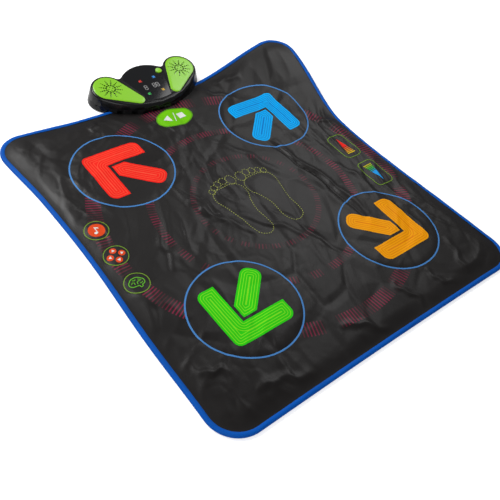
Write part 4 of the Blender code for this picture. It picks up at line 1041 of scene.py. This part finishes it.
# %% Volume signs: a wedge of stripes with a solid tip
STRIPES = 5
WEDGE_LENGTH, WEDGE_WIDTH = 0.062, 0.030
SOLID_FROM = 0.027  # the part from here to the tip is one solid sign
STRIPE, STRIPE_PITCH = 0.0032, 0.0054
LOUD = ((0.80, 0.55, 0.01), (0.82, 0.42, 0.01), (0.85, 0.30, 0.01), (0.85, 0.20, 0.01), (0.88, 0.10, 0.01),
        (0.95, 0.018, 0.010))
SOFT = ((0.55, 0.50, 0.01), (0.30, 0.55, 0.01), (0.08, 0.50, 0.03), (0.02, 0.45, 0.12), (0.01, 0.38, 0.40),
        (0.02, 0.36, 0.88))
for word, heading, colours in (("volume_up", 1, LOUD), ("volume_down", -1, SOFT)):
    pad = f"{word}_pad"
    centre = middle(pad)
    printed(ring(f"{word}_outline", pad, -0.0006, -0.0024), pad, outline_ink)
    runs = [(i * STRIPE_PITCH, i * STRIPE_PITCH + STRIPE) for i in range(STRIPES)]
    runs.append((SOLID_FROM, WEDGE_LENGTH))
    for i, (run, colour) in enumerate(zip(runs, colours)):
        wide, narrow = (max(WEDGE_WIDTH / 2 * (1 - t / WEDGE_LENGTH), 0.0002) for t in run)
        corners = [(-wide, run[0]), (wide, run[0]), (narrow, run[1]), (-narrow, run[1])]
        edge = [(centre.x + x, centre.y + heading * (y - WEDGE_LENGTH / 2)) for x, y in corners]
        bar = print_patch(f"{word}_bar_{i}", evenly(edge, 0.003), (), 0.003)
        printed(bar, pad, ink(f"{word}_ink_{i}", colour))
print("volume signs:", STRIPES, "stripes and a solid tip each")

# %% The start and stop signs
centre, half = middle("play_stop_pad"), half_size("play_stop_pad")
SIGNS = (
    tenths((-350, 0), (-145, -135), (-145, 135)),  # start
    tenths((-68, -165), (-42, -165), (68, 165), (42, 165)),  # a slash
    tenths((110, -100), (300, -100), (300, 100), (110, 100)),  # stop
)
declare(sign("start_stop_signs", centre, SIGNS), "play_stop_pad", "green_print", sign_ink)
outer, inner = (ellipse(centre, half.x + grow, half.y + grow, 110) for grow in (0.0020, -0.0012))
line = print_patch("start_stop_outline", outer, [inner], 0.002)
printed(line, MAT_BODY, ink("pill_edge_ink", (0.10, 0.33, 0.01)))
print("start and stop signs:", len(SIGNS), "areas")

# %% [markdown]
# ## The console
#
# The shells have their true form in the frame, in flat facets. A copy whose loose triangles are merged can
# be shaded smooth, so that light runs over its curves as over moulded plastic, and its edges stay crisp.

# %% Smooth copies of the frame's shells
SHELLS = ("upper_housing", "lower_housing", "battery_door", "left_rubber_foot", "left_speaker_cone",
          "right_rubber_foot", "right_speaker_cone")
for node in SHELLS:
    shell = linked(f"smooth_{node}", nodes[node].data.copy())
    edited(shell, bpy.ops.mesh.remove_doubles, threshold=1e-6)
    smooth(shell, SHELL_ANGLE)
    modify(shell, "level_normals", "WEIGHTED_NORMAL", keep_sharp=True)  # flat faces stay flat in the light
    body = "battery_door" if node == "battery_door" else MAT_BODY
    declare(shell, body, SLOT_OF[node], SLOT_FINISHES[SLOT_OF[node]], node)
print("smooth copies of the housings, door, feet and cones")

# %% Speaker covers with a sunburst of holes
TEAR_RADIUS, TEAR_TIP, TEAR_TIP_RADIUS = 0.0400, (0.058, -0.066), 0.015
SUNBURST = (0.1090, -0.0050)
SPOKES = 12
SUNBURST_RINGS = (  # how far out, half a hole's length and width, every so many spokes
    (0.0058, 0.0017, 0.0017, 3), (0.0122, 0.0027, 0.0028, 1), (0.0188, 0.0026, 0.0025, 1),
    (0.0248, 0.0022, 0.0019, 1), (0.0300, 0.0017, 0.0014, 1),
)
COVER_RISE, CROWN_REACH = 0.0011, 0.006  # how high the middle stands, and how far in from the rim it does
COVER_WALL = 0.0009
SEAT_GAP, SEAT_DEPTH = 0.0003, 0.0002


def teardrop(side, inset):
    big, tip = (LOBE_X, 0.0), TEAR_TIP
    run = Vector(tip) - Vector(big)
    lean = math.degrees(math.acos((TEAR_RADIUS - TEAR_TIP_RADIUS) / run.length))
    towards = math.degrees(math.atan2(run.y, run.x))
    points = arc(big, TEAR_RADIUS - inset, towards + lean, towards + 360 - lean, 48)
    points += arc(tip, TEAR_TIP_RADIUS - inset, towards - lean, towards + lean, 14)
    return [(side * x, y) for x, y in points][:: int(side)]


def on_top(piece, base, rise=None):
    """Moves a flat piece onto the console's sloping top, at a height over it."""
    return moved(piece, lambda x, y, height: TOP @ Vector((x, y, base + height)), rise)


for word, side in (("left", -1), ("right", 1)):
    edge = evenly(teardrop(side, SEAT_GAP), 0.0022)
    sound_holes = []
    for out, long, wide, every in SUNBURST_RINGS:
        for k in range(0, SPOKES, every):
            turned = Matrix.Rotation(math.tau * k / SPOKES, 2)
            slot_edge = [turned @ Vector(p) for p in ellipse((out, 0), long, wide, 10)]
            sound_holes.append([(side * SUNBURST[0] + p.x, SUNBURST[1] + p.y) for p in slot_edge])

    def crown(points, edge=edge):
        share = np.clip(distance_to(points, edge) / CROWN_REACH, 0, 1)
        return COVER_RISE * (1 - (1 - share) ** 2.2) - SEAT_DEPTH

    grille = on_top(patch(f"{word}_speaker_cover", edge, sound_holes, 0.0024), SEAT_DEPTH, crown)
    thicken(grille, COVER_WALL)
    declare(grille, MAT_BODY, "green_plastic", green_plastic, f"{word}_speaker_grille")
print("speaker covers:", len(sound_holes), "holes each")

# %% The power button
BUTTON = (0.0485, 0.0075)
BUTTON_RADIUS, BUTTON_TOP, BUTTON_FOOT = 0.0088, 0.0031, -0.0036
DISH_RIM, DISH_DEPTH = 0.0022, 0.0006
button = drum("power_key", BUTTON_RADIUS, BUTTON_TOP - BUTTON_FOOT, (*BUTTON, (BUTTON_TOP + BUTTON_FOOT) / 2))
shape = bmesh.new()
shape.from_mesh(button.data)
top_face = max(shape.faces, key=lambda f: f.calc_center_median().z)
bmesh.ops.inset_region(shape, faces=[top_face], thickness=DISH_RIM, depth=-DISH_DEPTH)
shape.to_mesh(button.data)
shape.free()
modify(button, "edge_round", "BEVEL", width=DRUM_EDGE, segments=4, limit_method="ANGLE")
button.data.transform(TOP)
smooth(button, KEY_ANGLE)
declare(button, "power_button", "green_plastic", green_plastic, "power_button")
print("power button:", len(button.data.polygons), "faces")

# %% Digits and arrow lights on the window
digit_grey = new_finish("digit_grey", (0.34, 0.34, 0.34), 0.5, 0.1, 60, 0.05, 900, 0.02)
LIGHTS = {
    "red": (-0.0215, -0.010, (0.85, 0.03, 0.02)),
    "blue": (0.0225, -0.008, (0.02, 0.30, 0.85)),
    "green": (-0.0222, -0.0585, (0.03, 0.55, 0.10)),
    "yellow": (0.0213, -0.0585, (0.75, 0.45, 0.02)),
}
LIGHT_CHEVRON = tenths((52, 0), (0, 52), (-20, 32), (12, 0), (-20, -32), (0, -52))
LIGHT_SHAFT = tenths((0, 0), (-12, 12), (-52, 12), (-52, -12), (-12, -12))
FACE = 0.00035  # over the console's top, just above the window
SIGN_FILM = 0.0001


def sign_on_window(name, loops, material):
    flat = [patch(f"{name}_{i}", evenly(loop, 0.004), (), 0.004) for i, loop in enumerate(loops)]
    piece = joined(name, [thicken(on_top(part, FACE), SIGN_FILM) for part in flat])
    return declare(piece, MAT_BODY, "window", material)


def segment(x0, y0, x1, y1, width=0.0017):
    """One stroke of a digit, with pointed ends."""
    start, end = Vector((x0, y0)), Vector((x1, y1))
    run = (end - start).normalized() * width / 2
    aside = Vector((-run.y, run.x))
    return [tuple(p) for p in (start, start + run - aside, end - run - aside, end, end - run + aside,
                               start + run + aside)]


def eight(x, y, width=0.0072, height=0.0145):
    w, h, g = width / 2, height / 2, 0.0003
    ends = [
        (-w + g, h, w - g, h), (-w + g, 0, w - g, 0), (-w + g, -h, w - g, -h),
        (-w, g, -w, h - g), (w, g, w, h - g), (-w, -h + g, -w, -g), (w, -h + g, w, -g),
    ]
    return [segment(x + x0, y + y0, x + x1, y + y1) for x0, y0, x1, y1 in ends]


sign_on_window("mode_digit", eight(-0.0188, -0.036), digit_grey)
sign_on_window("score_digits", eight(0.0072, -0.036) + eight(0.0176, -0.036), digit_grey)
for word, (x, y, colour) in LIGHTS.items():
    heading = math.atan2(1 if y > -0.03 else -1, 1 if x > 0 else -1)
    turn = Matrix.Rotation(heading, 2)
    loops = []
    for corners in (LIGHT_CHEVRON, LIGHT_SHAFT):
        loops.append([(x + p.x, y + p.y) for p in (turn @ Vector(corner) for corner in corners)])
    lit = new_finish(f"{word}_light", colour, 0.3, 0.1, 60, 0.05, 900, 0.02)
    sign_on_window(f"{word}_light_sign", loops, lit)
print("digits and arrow lights are on the window")

# %% [markdown]
# ## Flat sizes of the sheets
#
# The flat area of each cloth sheet is worked out, and the cover's cut size is given.

# %% Flat sizes
CUT = (MAT_WIDTH, MAT_DEPTH)


def flat_area(piece):
    return sum(face.area for face in piece.data.polygons) / 2


for name, sheet in skins.items():
    half = half_size(name)
    min(flat_area(sheet), 4 * half.x * half.y)
flat_area(cover)
for node, below in (("base_sheet", ()), ("lower_circuit_film", ("bottom_cloth",)),
                    ("upper_circuit_film", ("foam_sheet",))):
    piece = layers[node]
    list(below)
    flat_area(piece)
print("cover cut", CUT, "area", round(flat_area(cover), 3))

# %% [markdown]
# ## The place, the light and the camera
#
# A plain pale floor that shows as white, a large soft light from behind on the left and a weaker one in
# front. The floor is bright for the camera, weak in reflections and no lamp at all, so the mat keeps its
# shadow.

# %% Floor
def seen_directly(tree):
    """1 for rays from the camera, also through clear things, and all the ray sockets."""
    rays = add(tree, "ShaderNodeLightPath").outputs
    return calc(tree, "MAXIMUM", rays["Is Camera Ray"], rays["Is Transmission Ray"]), rays


floor_paint = bpy.data.materials.new("studio_floor")
floor_paint.use_nodes = True
tree = floor_paint.node_tree
shader = tree.nodes["Principled BSDF"]
shader.inputs["Base Color"].default_value = (0.86, 0.86, 0.86, 1)
shader.inputs["Roughness"].default_value = 0.9
shader.inputs["Specular IOR Level"].default_value = 0.1
FLOOR_GLOW, FLOOR_REFLECTED = 0.55, 0.12
seen, rays = seen_directly(tree)
glow = calc(tree, "MULTIPLY", seen, FLOOR_GLOW)
glow = calc(tree, "MULTIPLY_ADD", rays["Is Glossy Ray"], FLOOR_REFLECTED, glow)
shader.inputs["Emission Color"].default_value = (1, 1, 1, 1)
tree.links.new(glow, shader.inputs["Emission Strength"])
bpy.ops.object.select_all(action="DESELECT")
bpy.ops.mesh.primitive_plane_add(size=24, location=(0, 0, -0.0004))
floor = bpy.context.object
floor.name = "studio_floor"
floor.data.materials.append(floor_paint)

world = bpy.data.worlds.new("studio")
bpy.context.scene.world = world
world.use_nodes = True
tree = world.node_tree
sky = tree.nodes["Background"].inputs
SKY_LIGHT = 0.20
glow = calc(tree, "MULTIPLY_ADD", seen_directly(tree)[0], 1 - SKY_LIGHT, SKY_LIGHT)
tree.links.new(glow, sky["Strength"])
sky["Color"].default_value = (1, 1, 1, 1)
print("floor and world ready")

# %% Lights and camera
AIM = Vector((0, 0, 0.02))


def softbox(name, place, size, watts):
    lamp = bpy.data.lights.new(name, "AREA")
    lamp.shape = "RECTANGLE"
    lamp.size, lamp.size_y = size
    lamp.energy = watts
    made = linked(name, lamp)
    made.location = place
    made.rotation_euler = (AIM - Vector(place)).to_track_quat("-Z", "Y").to_euler()


softbox("key_light", (-0.9, 2.0, 2.1), (1.8, 1.0), 58)
softbox("fill_light", (-2.2, -1.4, 2.2), (2.0, 2.0), 30)
softbox("side_light", (1.9, 1.3, 2.2), (1.3, 1.3), 15)

YAW, PITCH, ROLL = math.radians(48.4838), math.radians(47.7648), math.radians(13.3870)
ahead = Vector((math.sin(YAW) * math.cos(PITCH), math.cos(YAW) * math.cos(PITCH), -math.sin(PITCH)))
level = ahead.cross(Vector((0, 0, 1))).normalized()
raised = level.cross(ahead)
right = math.cos(ROLL) * level + math.sin(ROLL) * raised
up = -math.sin(ROLL) * level + math.cos(ROLL) * raised
lens = bpy.data.cameras.new("camera")
lens.lens = 49.654
lens.sensor_width = 36
camera = linked("camera", lens)
turned = Matrix((right, up, -ahead)).transposed().to_4x4()
camera.matrix_world = Matrix.Translation((-0.9039, -0.8146, 1.1675)) @ turned
bpy.context.scene.camera = camera
bpy.context.scene.view_settings.view_transform = "Standard"
print("camera set")
